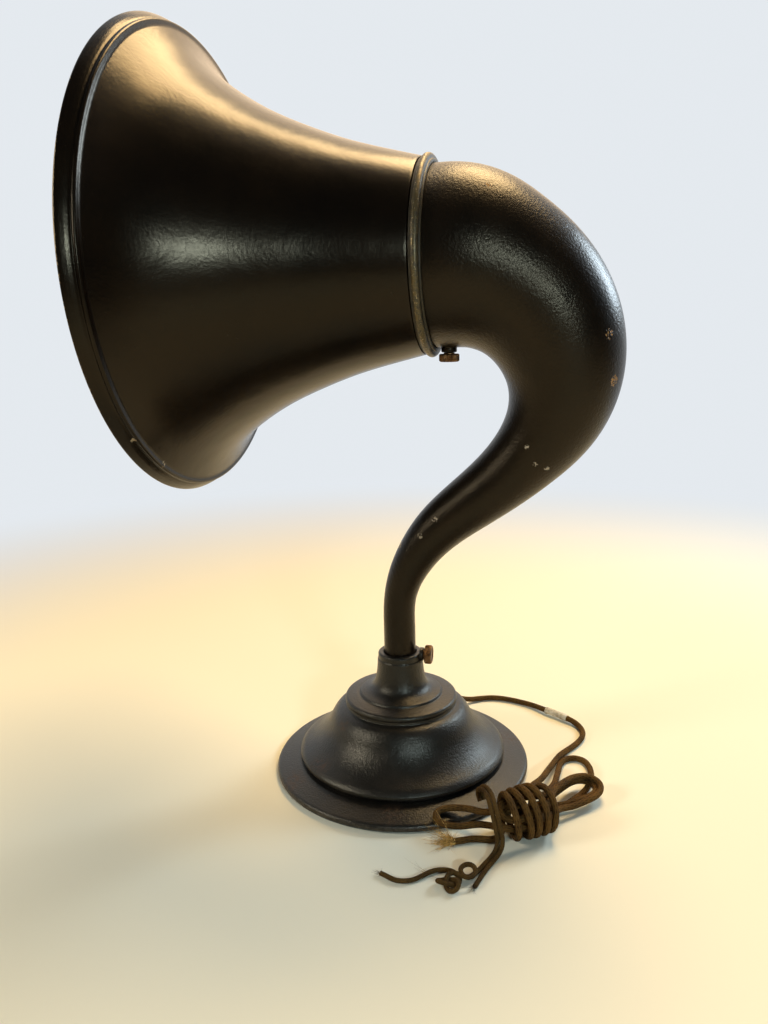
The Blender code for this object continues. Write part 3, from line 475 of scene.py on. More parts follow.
outline = COLLAR_TOP + spline(COLLAR_SWEEP[::-1], 24).tolist()
outline += SHOULDER_STEP + arc(SHOULDER_MIDDLE, SHOULDER_ROUND, 82, -48, 14) + [SHOULDER_FOOT]
outline += spline(DOME_SWEEP[::-1], 48).tolist() + DOME_FOOT
dome_finish = black_japan("black_japan_dome", DOME_WORN)
dome = grid_piece("base_casting_fine", turned(eased(outline, 0.5), TURNED_SIDES), "base", dome_finish)
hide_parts("base_casting")
for name, place, sizes in (("collar_boss", sideways(90.0, COLLAR_SCREW_H), COLLAR_BOSS),
                           ("cord_boss", sideways(CORD_ANGLE, CORD_HOLE_H), CORD_BOSS)):
    stud = boss(name, place, sizes, "base", dome_finish)

# ------------ cord bush
# Flanged bush of hard red-brown fibre, pressed into the boss at the back, so that the cord doesn't
# chafe on the iron.


def hard_fibre(name, dark, light):
    """Vulcanised fibre: a mottled, slightly waxy sheet material."""
    finish = Finish(name)
    mottle = finish.noise(0.003, detail=5.0, rough=0.65)
    finish.tint(finish.rise(mottle, 0.3, 0.7), dark, light)
    finish.put(Roughness=0.5 + 0.2 * mottle)
    finish.bump((mottle, 0.0001, 0.4))
    return finish


fibre = hard_fibre("bush_fibre", (0.030, 0.010, 0.006), (0.070, 0.022, 0.012))
outline = [(2.9, 80.0), (3.9, 80.0), (3.9, 87.6), (5.4, 87.6), (5.4, 88.8), (4.4, 89.6), (2.9, 89.4)]
bush = turned(eased(outline, 0.35), SMALL_SIDES, sideways(CORD_ANGLE, CORD_HOLE_H))
bush = grid_piece("cord_bush_fine", bush, "base", fibre)
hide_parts("cord_bushing")

# ------------ driver unit
# The works inside the dome: a black cup and lid hold a red horseshoe magnet, two pole pieces with
# wound coils and an iron disc between paper rings, with a fibre block for the cord's two wires.

paint = Finish("driver_japan", Specular_IOR_Level=0.4)
skin = paint.noise(0.004)
paint.tint(skin, (0.008, 0.008, 0.008), (0.020, 0.019, 0.018))
paint.put(Roughness=0.35 + 0.2 * skin)
paint.bump((skin, 0.0001, 0.4))
dress(paint, "driver_cap", "driver_case")

red = Finish("magnet_red")
skin = red.noise(0.003, detail=5.0, rough=0.65)
mark = red.rise(red.noise(0.004, detail=4.0), 0.64, 0.68)
red.tint(mark, red.mix(skin, (0.20, 0.020, 0.012), (0.32, 0.040, 0.022)), (0.10, 0.09, 0.08))
red.put(Roughness=0.4 + 0.25 * skin)
red.bump((mark, -0.00015, 0.6), (skin, 0.0001, 0.3))
dress(red, "magnet")

dress(plated_metal("soft_iron", (0.22, 0.22, 0.22), (0.38, 0.38, 0.37), 0.42), "diaphragm", "pole_piece_1",
      "pole_piece_2")


def soft_stuff(name, roughness, grain_size, detail, rough, dark, light, depth, strength):
    """Paper, rubber or thread: one fine grain mottles its colour and roughens its surface."""
    finish = Finish(name, roughness=roughness)
    grain = finish.noise(grain_size, detail, rough)
    finish.tint(grain, dark, light)
    finish.bump((grain, depth, strength))
    return finish


dress(soft_stuff("fish_paper", 0.9, 0.0012, 4.0, 0.7, (0.13, 0.09, 0.05), (0.27, 0.20, 0.12), 0.0001, 0.5),
      "gasket_lower", "gasket_upper")

WIRE_PITCH = 0.0004
winding = Finish("waxed_winding", roughness=0.45)
turn = 0.5 + 0.5 * winding.wave(winding.axis("Z") * (2 * np.pi / WIRE_PITCH))
wax = winding.noise(0.004)
winding.tint(turn * 0.6 + wax * 0.4, (0.07, 0.032, 0.010), (0.26, 0.13, 0.035))
winding.bump((turn, 0.0001, 0.6))
dress(winding, "coil_1", "coil_2")

dress(hard_fibre("terminal_fibre", (0.10, 0.022, 0.014), (0.18, 0.045, 0.026)), "terminal_block")
dress(plated_metal("terminal_brass", (0.34, 0.22, 0.09), (0.52, 0.36, 0.16), 0.4), "terminal_screw_1",
      "terminal_screw_2")

dress(soft_stuff("gasket_rubber", 0.8, 0.002, 4.0, 0.55, (0.012, 0.012, 0.012), (0.035, 0.034, 0.032), 0.0001, 0.4),
      "throat_gasket")
dress(soft_stuff("lead_braid", 0.9, 0.0006, 2.0, 0.55, (0.05, 0.028, 0.012), (0.14, 0.085, 0.035), 0.0002, 0.7),
      "lead_wire_1", "lead_wire_2")

# ------------ gooseneck
# Thin-walled iron casting that carries the sound up and forward.  Its round section grows along a
# doubly curved line, its foot drops into the collar, and its enamel shows the rough casting.  It is
# chipped to the gold size in a few places, and small pale spots on it are painted glints.

NECK_LINE = [(0, 124, 13.2), (0, 138, 13.1), (1.2, 151, 13.3), (4.4, 164, 14.1), (16.7, 189, 16.7),
             (34.3, 211, 19.6), (59.0, 232, 22.3), (84.2, 252.5, 25.0), (106.4, 275.2, 29.1),
             (123.5, 302.0, 35.6), (129.9, 335, 43.0), (121, 368.8, 49.8), (99.5, 396.2, 55.4),
             (72.5, 413.0, 61.2), (60, 417.8, 64.2), (50, 419.6, 65.8), (40, 419.8, 66.0), (27, 419.8, 66.0)]
NECK_FOOT_H = 74.4
NECK_WALL = 2.2
STEM_R = 13.2
NECK_RINGS = 180
NECK_SIDES = 144
BELL_AXIS_H = 419.8
BELL_SCREW_Y = 43.4
NECK_BOSS = (6.0, 2.6, 64.6, 69.6, 1.6)
ENAMEL = (0.0032, 0.0021, 0.0014)
ENAMEL_BROWN = (0.0060, 0.0034, 0.0018)
ENAMEL_SHEEN = (1.0, 0.82, 0.58)
ENAMEL_SHINE = 0.24
CAST_SHINE = 0.27
GOLD_SIZE = (0.34, 0.17, 0.05)
# The pale spots are painted glints, not chips in the enamel.
PAINTED_GLINT = (0.42, 0.34, 0.24)
NECK_CHIPS_AND_GLINTS = {
    GOLD_SIZE: [((0.0320, 0.1604, 0.3625), 0.0095), ((0.0239, 0.1652, 0.3296), 0.0105),
                ((0.0419, 0.0779, 0.4630), 0.0070)],
    PAINTED_GLINT: [((0.0304, 0.1049, 0.2825), 0.0050), ((0.0283, 0.1113, 0.2693), 0.0050),
                ((0.0248, 0.1197, 0.2659), 0.0050), ((0.0183, 0.0343, 0.2230), 0.0065),
                ((0.0169, 0.0219, 0.2083), 0.0060), ((0.0052, 0.0029, 0.1969), 0.0080)]}


def neck_rings(count):
    """Centre (y, z), heading (y, z) and radius of the circles where the skin touches its balls.

    A ball of radius r at c touches the skin at c - r r' t, on a circle of radius r sqrt(1 - r'^2).
    """
    line = spline(NECK_LINE, count)
    step = np.gradient(line, axis=0)
    step /= np.linalg.norm(step[:, :2], axis=1)[:, None]
    heading, rate, ball = step[:, :2], step[:, 2:], line[:, 2:]
    centre = line[:, :2] - ball * rate * heading
    foot = np.array([[0.0, NECK_FOOT_H, 0.0, 1.0, STEM_R]])
    return np.concatenate([foot, np.concatenate([centre, heading, ball * np.sqrt(1 - rate ** 2)], axis=1)])


rings = neck_rings(NECK_RINGS)
angle = 2 * np.pi * np.arange(NECK_SIDES) / NECK_SIDES
skins = []
for wall in (0.0, NECK_WALL):
    radius = (rings[:, 4:] - wall) * MM
    across, lift = radius * np.cos(angle), radius * np.sin(angle)
    back, height = rings[:, :1] * MM - rings[:, 3:4] * lift, rings[:, 1:2] * MM + rings[:, 2:3] * lift
    skins.append(np.stack([across, back, height], axis=-1))
neck_finish = Finish("neck_enamel", Specular_IOR_Level=CAST_SHINE, Specular_Tint=ENAMEL_SHEEN)
cloud = neck_finish.noise(0.030)
crinkle = neck_finish.noise(0.0021, rough=0.6)
crumb = neck_finish.noise(0.0016, detail=4.0, rough=0.7)
colour = neck_finish.mix(neck_finish.rise(cloud, 0.3, 0.7), ENAMEL, ENAMEL_BROWN)
wear_and_painted_glint = 0.0
# Gold-size marks are chips worn through the enamel; pale marks are painted glints.
for mark_colour, marks in NECK_CHIPS_AND_GLINTS.items():
    for centre, radius in marks:
        mark = neck_finish.rise(neck_finish.near(centre, radius) * crumb, 0.48, 0.55)
        colour = neck_finish.mix(mark, colour, mark_colour)
        wear_and_painted_glint = wear_and_painted_glint + mark
neck_finish.put(Base_Color=colour, Roughness=0.25 + 0.12 * cloud + 0.35 * wear_and_painted_glint)
wavy = neck_finish.noise(0.014, detail=1.0)
neck_finish.bump((wavy, 0.0008, 0.25), (crinkle, 0.00045, 0.72), (wear_and_painted_glint, -0.0002, 0.7))
neck = grid_piece("gooseneck_fine", np.concatenate([skins[0], skins[1][::-1]]), "horn", neck_finish)
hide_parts("gooseneck")

over_joint = Matrix.Translation((0, BELL_SCREW_Y * MM, BELL_AXIS_H * MM)) @ Matrix.Rotation(np.pi, 4, "X")
pad = boss("neck_boss", over_joint, NECK_BOSS, "horn", neck_finish)

# ------------ beaded ring
# Turned brass ring shrunk over the end of the gooseneck: a round bead between two low flanges.
# Its dark lacquer has worn off the crest and stays on the flanges beside it.

JOINT_Y = 31.0
BEAD_INSIDE = 66.35
BEAD_FLANGE = 69.0
BEAD_SHOULDER = 70.6
BEAD_MIDDLE = 70.3
BEAD_ROUND = 2.9
BEAD_HALF = 4.0
BEAD_TARNISH = (0.012, 0.009, 0.005)
BEAD_BRASS = (0.115, 0.085, 0.038)
BEAD_SPECK = (0.46, 0.36, 0.20)
on_bell_axis = Matrix.Translation((0, JOINT_Y * MM, BELL_AXIS_H * MM)) @ Matrix.Rotation(np.pi / 2, 4, "X")


def from_axis(finish):
    """Distance from the bell's axis, in metres."""
    height = finish.axis("Z") - BELL_AXIS_H * MM
    across = finish.axis("X")
    return finish.node("ShaderNodeMath", {"operation": "SQRT"}, {0: across * across + height * height})


outline = [(BEAD_INSIDE, -BEAD_HALF), (BEAD_FLANGE - 0.6, -BEAD_HALF), (BEAD_FLANGE, -BEAD_HALF + 0.7)]
outline += [(BEAD_FLANGE, -BEAD_ROUND)] + arc((BEAD_MIDDLE, 0.0), BEAD_ROUND, -75, 75, 16)
outline += [(BEAD_SHOULDER, 2.4), (BEAD_SHOULDER, 4.1), (BEAD_SHOULDER - 0.6, 4.6), (BEAD_INSIDE, 4.6)]
brass = Finish("worn_bead_brass")
radius = from_axis(brass)
crest = brass.rise(radius, (BEAD_MIDDLE + 0.4) * MM, (BEAD_MIDDLE + BEAD_ROUND) * MM)
rubbed = brass.noise(0.0045, detail=5.0, rough=0.7)
bright = brass.rise(rubbed, 0.40, 0.66) * crest
speck = brass.rise(brass.noise(0.0014, rough=0.7), 0.60, 0.68)
colour = brass.mix(brass.rise(rubbed, 0.30, 0.62) * (0.25 + 0.75 * crest), BEAD_TARNISH, BEAD_BRASS)
brass.tint(speck * crest, colour, BEAD_SPECK)
brass.put(Roughness=0.50 - 0.18 * bright, Metallic=0.25 + 0.6 * bright)
brass.bump((rubbed, 0.00022, 0.6), (speck, 0.00010, 0.5))
bead = turned(eased(outline, 0.25, 3), TURNED_SIDES, on_bell_axis)
bead = grid_piece("neck_bead_fine", bead, "horn", brass, sharp=50.0)
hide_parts("neck_bead")

# ------------ bell
# Spun sheet bell: a slim flare, a step with a small pressed bead, a convex rim band and a thin
# turned lip.  Its enamel is glossier than that of the castings and worn through on the lip, and a
# pale patch at the lip's left edge is a painted highlight.

BELL_R = 178.0
BELL_DEPTH = 198.8
BELL_WALL = 1.4
BELL_SPIGOT = [(67.4, 7.5), (61.6, 5.4), (61.6, -14.6), (63.0, -14.6), (63.0, 4.9)]
BELL_FLARE = [(4.9, 71.2), (30, 77.5), (60, 85.9), (90, 97.0), (120, 110.5), (145, 125.4), (165, 140.6),
              (178, 154.8), (186.2, 167.6)]
BELL_RIM = [(186.6, 169.0), (186.7, 171.6), (187.3, 172.7), (188.3, 173.0), (189.2, 172.7), (189.9, 172.6),
            (190.8, 173.9), (192.8, 175.5), (195.4, 177.0)]
BELL_CHIPS = [((0.0900, -0.1560, 0.2760), 0.0060), ((0.1240, -0.1585, 0.2980), 0.0050)]
LIP_Y = (JOINT_Y - BELL_DEPTH) * MM
LIP_WORN = (0.0022, 0.0006)
# Centre of a painted highlight on the lip's left edge, as seen from the camera.
PAINTED_LIP_HIGHLIGHT = (0.1730, -0.1670, 0.4500)
DUST = (0.10, 0.085, 0.065)
# Colour of the bare sheet, also used for the painted highlight on the lip.
BARE_SHEET_AND_PAINTED_HIGHLIGHT = (0.30, 0.22, 0.13)

outside = spline(BELL_FLARE, 70)[:, ::-1].tolist() + [(r, h) for h, r in BELL_RIM] + [(BELL_R, BELL_DEPTH - 1.2)]
line = np.array(outside)
along = np.gradient(line, axis=0)
along /= np.linalg.norm(along, axis=1)[:, None]
inside = line + BELL_WALL * np.stack([-along[:, 1], along[:, 0]], axis=1)
outline = BELL_SPIGOT + outside + [(BELL_R - 0.3, BELL_DEPTH), (BELL_R - BELL_WALL, BELL_DEPTH)]
outline += inside[:0:-1].tolist()
enamel = Finish("bell_enamel", Specular_IOR_Level=ENAMEL_SHINE, Specular_Tint=ENAMEL_SHEEN)
cloud = enamel.noise(0.050, detail=4.0)
grain = enamel.noise(0.0024, rough=0.6)
dull = enamel.noise(0.0022, detail=5.0, rough=0.75)
crumb = enamel.noise(0.0018, detail=4.0, rough=0.7)
colour = enamel.mix(enamel.rise(cloud, 0.3, 0.7), ENAMEL, ENAMEL_BROWN)
dust = enamel.rise(dull, 0.66, 0.74) * 0.35
colour = enamel.mix(dust, colour, DUST)
lip = enamel.rise(-1.0 * enamel.axis("Y"), -LIP_Y - LIP_WORN[0], -LIP_Y - LIP_WORN[1])
# The lip is worn through to bare sheet, and the patch at its left edge is a painted highlight.
wear_and_painted_glint = enamel.rise(lip * (crumb + 0.25 * enamel.near(PAINTED_LIP_HIGHLIGHT, 0.050)), 0.52, 0.62)
for centre, radius in BELL_CHIPS:
    wear_and_painted_glint = wear_and_painted_glint + enamel.rise(enamel.near(centre, radius) * crumb, 0.48, 0.55)
colour = enamel.mix(wear_and_painted_glint, colour, BARE_SHEET_AND_PAINTED_HIGHLIGHT)
enamel.put(Base_Color=colour, Roughness=0.14 + 0.08 * cloud + 0.12 * dull + 0.3 * wear_and_painted_glint)
wavy = enamel.noise(0.018, detail=1.0)
enamel.bump((wavy, 0.0008, 0.3), (grain, 0.0004, 0.27), (wear_and_painted_glint, -0.0001, 0.6))
bell = grid_piece("bell_fine", turned(eased(outline, 0.5), TURNED_SIDES, on_bell_axis), "bell", enamel)
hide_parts("bell")

# ------------ thumb screws
# Two turned brass screws with round knurled heads.  One in the collar clamps the gooseneck's
# foot, and one under the joint holds the bell.  The brass has gone brown, with a coppery face.

KNURLS = 44
KNURL_CUT = 0.35
SHANK_R = 2.2
THREAD_PITCH = 0.8
THREAD_DEPTH = 0.16
HEAD_R = 7.8
HEAD_H = 6.8
BRASS_BROWN = (0.045, 0.024, 0.012)
BRASS_COPPERY = (0.23, 0.115, 0.045)
BRASS_BRIGHT = (0.40, 0.23, 0.10)
aged_brass = Finish("aged_brass", metallic=0.9)
tarnish = aged_brass.noise(0.0050, detail=5.0, rough=0.7)
grime = aged_brass.noise(0.0012, rough=0.65)
colour = aged_brass.mix(aged_brass.rise(tarnish, 0.38, 0.62), BRASS_BROWN, BRASS_COPPERY)
aged_brass.tint(aged_brass.rise(grime, 0.58, 0.70) * 0.6, colour, BRASS_BRIGHT)
aged_brass.put(Roughness=0.34 + 0.26 * tarnish)
aged_brass.bump((tarnish, 0.00015, 0.4), (grime, 0.00008, 0.4))


def thumb_screw(name, place, tip, head, replaced):
    """Clamping screw: its outline (radius, distance from the axis it points to) is turned round Z.

    Threads ripple the shank by their depth times sin(2 pi h / pitch), and the knurls take a cut
    times |sin(n a / 2)| out of the head's rim.
    """
    thread = np.linspace(tip + 1.0, head - 0.2, int((head - tip) / 0.1))
    top = head + HEAD_H
    outline = [(0.0, tip), (1.6, tip), (SHANK_R - 0.2, tip + 0.7)]
    outline += [(SHANK_R - 0.17 + THREAD_DEPTH * np.sin(2 * np.pi * h / THREAD_PITCH), h) for h in thread]
    outline += [(SHANK_R, head), (4.1, head), (4.2, head + 0.9), (HEAD_R - 0.7, head + 0.9), (HEAD_R, head + 1.6)]
    outline += [(HEAD_R, top - 2.4), (HEAD_R, top - 0.9), (HEAD_R - 0.9, top), (5.4, top), (4.8, top - 0.5),
                (0.0, top - 0.5)]
    grid = turned(outline, KNURLS * 4)
    turn = 2 * np.pi * np.arange(KNURLS * 4) / (KNURLS * 4)
    rim = np.array([radius > HEAD_R - 0.8 and radius > 4.3 for radius, _ in outline])[:, None]
    cut = 1 - rim * KNURL_CUT / HEAD_R * np.abs(np.sin(KNURLS * turn / 2))
    grid[:, :, :2] *= cut[:, :, None]
    screw = grid_piece(name, placed(grid, place), replaced, aged_brass, sharp=35.0, closed=False)
    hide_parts(replaced)


thumb_screw("collar_screw_fine", sideways(90.0, COLLAR_SCREW_H), tip=13.7, head=20.6, replaced="collar_screw")
thumb_screw("bell_screw_fine", over_joint, tip=63.7, head=69.9, replaced="bell_screw")

# ------------ cord
# Two-core cord in a brown cotton braid, 5 mm thick.  It leaves the bush at the back of the dome,
# runs round on the table top and is folded to and fro into a bundle with five wraps round it.
# Its braid ends in a frayed tuft beside the bundle.

CORD_D = 5.0
CORD_SIDES = 16
BRAID_DARK = (0.014, 0.007, 0.003)
BUNDLE_MIDDLE = np.array([86.5, 113.0, 19.4])
BUNDLE_ALONG = np.array([-0.49, 0.87, 0.0])
BUNDLE_ALONG = BUNDLE_ALONG / np.linalg.norm(BUNDLE_ALONG)
BUNDLE_OUT = np.array([BUNDLE_ALONG[1], -BUNDLE_ALONG[0], 0.0])
UP = np.array([0.0, 0.0, 1.0])


def in_bundle(*places):
    """Points from distances along the bundle, out from its middle, and up."""
    return (np.array(places, float) @ np.array([BUNDLE_ALONG, BUNDLE_OUT, UP]) + BUNDLE_MIDDLE).tolist()


run = [(-86.7, 23.2, 24.0), (-92.6, 24.9, 22.8), (-99.4, 27.3, 18.6), (-106.5, 31.0, 12.6),
       (-114.0, 37.5, 7.2), (-121.5, 45.5, 3.8), (-128.0, 56.0, 2.8), (-130.8, 68.0, 2.8),
       (-129.2, 82.0, 2.8), (-124.6, 96.5, 2.9), (-118.0, 108.5, 3.4), (-110.8, 117.8, 4.1),
       (-104.8, 127.5, 4.2), (-98.5, 136.5, 4.2), (-91.5, 145.5, 3.4), (-82.4, 151.2, 2.8),
       (-71.5, 153.0, 2.8), (-59.5, 150.6, 2.8), (-46.5, 144.2, 2.8), (-30.0, 134.6, 3.2),
       (-10.3, 128.9, 5.5), (7.8, 124.8, 8.5), (28.5, 120.3, 12.5), (46.0, 115.0, 17.0)]
left_loop = [(91.5, 84.5, 18.5), (86.0, 72.5, 15.6), (82.8, 61.5, 13.8), (83.8, 52.5, 12.8), (89.8, 46.0, 12.0),
             (97.0, 47.6, 10.9), (100.6, 55.5, 10.0), (98.8, 67.5, 9.6), (94.8, 80.0, 10.0)]
tall_loop = [(64.5, 127.5, 5.5), (50.0, 136.6, 2.8), (37.1, 146.7, 2.8), (21.5, 155.6, 2.8), (6.0, 159.6, 2.8),
             (-8.0, 159.8, 2.8), (-17.6, 157.6, 2.8), (-24.4, 153.4, 2.8), (-26.8, 146.4, 2.8), (-24.0, 139.4, 2.8),
             (-17.0, 135.4, 3.0), (-8.0, 133.8, 4.0), (2.0, 133.2, 5.6), (12.9, 132.5, 8.0), (33.5, 131.3, 13.0),
             (55.0, 127.7, 18.5)]
wide_loop = [(62.6, 129.5, 22.5), (46.5, 135.5, 20.0), (33.0, 141.5, 17.0), (22.5, 148.5, 14.4),
             (18.0, 156.5, 12.6), (21.0, 164.0, 11.0), (29.5, 166.6, 9.6), (39.5, 161.8, 8.6),
             (48.0, 153.5, 8.2), (56.5, 144.5, 8.4), (64.5, 136.3, 10.5)]
inner_loop = [(56.1, 128.3, 14.5), (42.0, 133.6, 11.2), (29.5, 139.6, 9.4), (20.0, 146.4, 8.4), (16.8, 155.0, 8.0),
              (21.5, 162.6, 7.8), (30.5, 163.2, 7.7), (39.5, 157.6, 7.6), (46.5, 149.0, 7.2), (53.0, 139.0, 6.2),
              (60.0, 129.6, 5.2), (67.6, 124.8, 4.7)]
last_end = [(94.2, 95.0, 4.4), (99.8, 91.8, 3.0), (102.3, 84.8, 3.0), (103.4, 76.5, 3.0), (106.6, 68.5, 3.0),
            (109.8, 61.5, 3.0)]

WRAPS = 4.92
WRAP_POINTS = 14
WRAP_START = -100.0
WRAP_FIRST = 16.5
WRAP_PITCH = 6.8
WRAP_R = 14.6
WRAP_SWELL = 2.6
turns = np.linspace(0.0, WRAPS, int(WRAPS * WRAP_POINTS) + 1)
wrap_angle = np.radians(WRAP_START) + 2 * np.pi * turns
swell = WRAP_R + WRAP_SWELL * np.sin(np.pi * turns / WRAPS) ** 0.7 + 0.35 * np.sin(5 * turns)
lean = 0.9 * np.sin(2.6 * turns) + 1.4 * np.sin(wrap_angle + 0.9 * turns)
wraps = in_bundle(*zip(WRAP_FIRST - WRAP_PITCH * turns + lean, swell * np.cos(wrap_angle),
                       swell * np.sin(wrap_angle)))

cord_points = run + [(62.0, 112.5, 22.0)] + in_bundle((1, -9.5, 7.5), (-12, -7.5, 3.5)) + left_loop
cord_points += in_bundle((-12, 5.5, -8.5), (0, 4, -10), (12, 3, -10.5)) + tall_loop
cord_points += in_bundle((13, -3.5, 8.5), (0, -4, 9.5), (-12, -5, 9), (-19.7, -2.7, 7.6), (-22.5, 3, 5.6),
                         (-19.7, 8.7, 3.4), (-12, 11, 2.4), (2, 9, 4.6), (13, 6, 6.5)) + wide_loop
cord_points += in_bundle((13, 8.5, -4.5), (2, 10.2, -4.2), (-11, 10, -5), (-18.5, 8, -5.6), (-22.5, 0.5, -5.4),
                         (-18.5, -7.5, -4.6), (-10, -10, -4), (3, -10.5, -4), (13, -9, -2.5)) + inner_loop
cord_points += wraps + last_end


def evenly(line, step):
    """The same line with its points an equal step apart."""
    length = np.concatenate([[0.0], np.cumsum(np.linalg.norm(np.diff(line, axis=0), axis=1))])
    even = np.linspace(0.0, length[-1], int(round(length[-1] / step)) + 1)
    return np.stack([np.interp(even, length, line[:, k]) for k in range(3)], axis=1)


RING_UNDER_CORD = np.array([(88.0, 12.0), (89.5, 11.5), (105.2, 7.4), (107.7, 5.6), (110.2, 1.5), (111.0, 0.0)])
PUSH = 0.4
FADE = 0.985
SPREAD = 0.25


def settled(line, diameter, rounds=200):
    """The cord's line after it has come to rest: passes closer than a diameter push each other off.

    Each pair of points that is too near moves apart along the line between them.  The move is
    then spread along the cord, fades a little towards the drawn route, and never goes through
    the table top or the ring's flange.
    """
    step = np.linalg.norm(np.diff(line, axis=0), axis=1).mean()
    gap = 0.99 * diameter
    i, j = np.triu_indices(len(line), int(np.ceil(2.5 * diameter / step)))
    near = np.linalg.norm(line[i] - line[j], axis=1) < 5 * diameter
    i, j = i[near], j[near]
    move = np.zeros_like(line)
    for _ in range(rounds):
        now = line + move
        apart = now[i] - now[j]
        distance = np.linalg.norm(apart, axis=1)
        close = distance < gap
        push = (PUSH * (gap - distance[close]) / np.maximum(distance[close], 0.3))[:, None] * apart[close]
        np.add.at(move, i[close], push)
        np.add.at(move, j[close], -push)
        move *= FADE
        move[1:-1] += SPREAD * (move[2:] + move[:-2] - 2 * move[1:-1])
        ground = np.interp(np.hypot(now[:, 0], now[:, 1]), *RING_UNDER_CORD.T)
        move[:, 2] = np.maximum(move[:, 2], ground + 0.54 * diameter - line[:, 2])
        move[:6] = 0.0
    return line + move


def at_rest(points, diameter, coarse, fine):
    """A cord's line through its points, settled in coarse steps and read in fine ones."""
    return evenly(settled(evenly(spline(points, 40 * len(points)), coarse), diameter), fine)


cord_line = at_rest(cord_points, CORD_D, coarse=2.5, fine=1.4)


def along_line(line):
    """Unit directions along a line, and two crosswise directions carried without twist."""
    ahead = np.gradient(line, axis=0)
    ahead /= np.linalg.norm(ahead, axis=1)[:, None]
    side = np.cross(ahead[0], UP)
    sides = []
    for direction in ahead:
        side = side - direction * (side @ direction)
        side = side / np.linalg.norm(side)
        sides.append(side)
    sides = np.array(sides)
    return ahead, sides, np.cross(ahead, sides)


def rope(name, line, radius, sides, finish):
    """A tube of rings along a line: centre + radius * (cos a * side + sin a * over), closed by poles.

    The radius is one number, or a grid of them by ring and side.
    """
    _, side, over = along_line(line)
    angle = 2 * np.pi * np.arange(sides) / sides
    radius = np.broadcast_to(radius, (len(line), sides))[..., None]
    round_it = np.cos(angle)[:, None] * side[:, None] + np.sin(angle)[:, None] * over[:, None]
    points = line[:, None] + radius * round_it
    ends = [np.repeat(line[:1, None], sides, axis=1), np.repeat(line[-1:, None], sides, axis=1)]
    points = np.concatenate([ends[0], points, ends[1]]) * MM
    step = np.linalg.norm(np.diff(line, axis=0), axis=1).mean() * MM
    return grid_piece(name, points, "base", finish, sharp=80.0, closed=False, uv=(step, 1.0 / sides))


def braid(name, diameter, dark, light):
    """Braided cotton: strands cross in both diagonals, each one rounded, with a little fuzz and soil."""
    finish = Finish(name, roughness=0.85, Specular_IOR_Level=0.12)
    uv = finish.node("ShaderNodeUVMap", {"uv_map": "length_round"})
    length, around = finish.axis("X", uv), finish.axis("Y", uv)
    pitch = diameter * MM * 1.5
    right = finish.wave((length / pitch + around * 8) * (2 * np.pi))
    left = finish.wave((length / pitch - around * 8) * (2 * np.pi))
    strand = finish.node("ShaderNodeMath", {"operation": "MAXIMUM"}, {0: right, 1: left})
    soil = finish.noise(0.012, detail=5.0)
    fuzz = finish.noise(0.0007, rough=0.7)
    shade = finish.rise(strand * 0.14 + soil * 0.84 + fuzz * 0.40, 0.25, 0.95)
    finish.tint(shade, dark, light)
    finish.bump((strand, 0.00022, 0.7), (fuzz, 0.00025, 0.6))
    return finish


FIBRE_RINGS = 7
FIBRE_SIDES = 3


def fibres(name, roots, ahead, finish, seed, count, length, spread, thickness):
    """Loose fibres, each a tapered three-sided tube that doesn't go below the table.

    Its line is root + t * length * (ahead + spread * chance) + curl * t^2, and the roots are
    scattered within a distance of a point.
    """
    place, disc = roots
    chance = np.random.default_rng(seed)
    ahead = np.array(ahead, float) / np.linalg.norm(ahead)
    start = place + disc * chance.uniform(-1, 1, (count, 1, 3))
    heading = ahead + spread * chance.normal(size=(count, 1, 3))
    curl = 0.45 * length * chance.normal(size=(count, 1, 3))
    reach = length * chance.uniform(0.45, 1.0, (count, 1, 1))
    t = np.linspace(0.0, 1.0, FIBRE_RINGS)[None, :, None]
    line = start + t * reach * heading + curl * t ** 2
    line[:, :, 2] = np.maximum(line[:, :, 2], thickness)
    side = np.cross(heading, UP)
    side = side / np.linalg.norm(side, axis=2, keepdims=True)
    over = np.cross(heading, side)
    over = over / np.linalg.norm(over, axis=2, keepdims=True)
    angle = 2 * np.pi * np.arange(FIBRE_SIDES)[:, None] / FIBRE_SIDES
    ring = np.cos(angle) * side[:, :, None] + np.sin(angle) * over[:, :, None]
    points = (line[:, :, None] + thickness / 2 * (1.0 - 0.7 * t[..., None]) * ring) * MM
    row, turn = np.meshgrid(FIBRE_SIDES * np.arange(FIBRE_RINGS - 1), np.arange(FIBRE_SIDES), indexing="ij")
    after = (turn + 1) % FIBRE_SIDES
    corners = np.stack([row + turn, row + after, row + FIBRE_SIDES + after, row + FIBRE_SIDES + turn], axis=-1)
    first = FIBRE_RINGS * FIBRE_SIDES * np.arange(count)[:, None, None]
    sides = (corners.reshape(1, -1, 4) + first).reshape(-1, 4)
    cap = np.arange(FIBRE_SIDES)
    ends = (np.stack([cap, cap + FIBRE_SIDES * (FIBRE_RINGS - 1)])[None] + first).reshape(-1, FIBRE_SIDES)
    mesh = bpy.data.meshes.new(name)
    mesh.from_pydata(points.reshape(-1, 3), [], sides.tolist() + ends.tolist())
    return finish_mesh(name, mesh, "base", finish, 80.0)


cord_finish = braid("brown_braid", CORD_D, BRAID_DARK, (0.118, 0.060, 0.014))
cord = rope("cord", cord_line, CORD_D / 2, CORD_SIDES, cord_finish)
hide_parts("cord_run", "cord_hank", "cord_loop_1", "cord_loop_2", "cord_loop_3")

golden = Finish("golden_cotton", roughness=0.9)
strands = golden.rise(golden.noise(0.002), 0.35, 0.65)
golden.tint(strands, (0.26, 0.13, 0.030), (0.80, 0.50, 0.14))
tuft = fibres("cord_tuft", (cord_line[-1], 2.2), (-0.05, -1.0, 0.02), golden, seed=11,
              count=190, length=12.0, spread=0.36, thickness=0.42)
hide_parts("cord_fray")

# ------------ tape on the cord
# Off-white cotton tape wound round the cord near the dome, where its braid was mended.  Each turn
# overlaps the last one, so that a spiral edge shows.

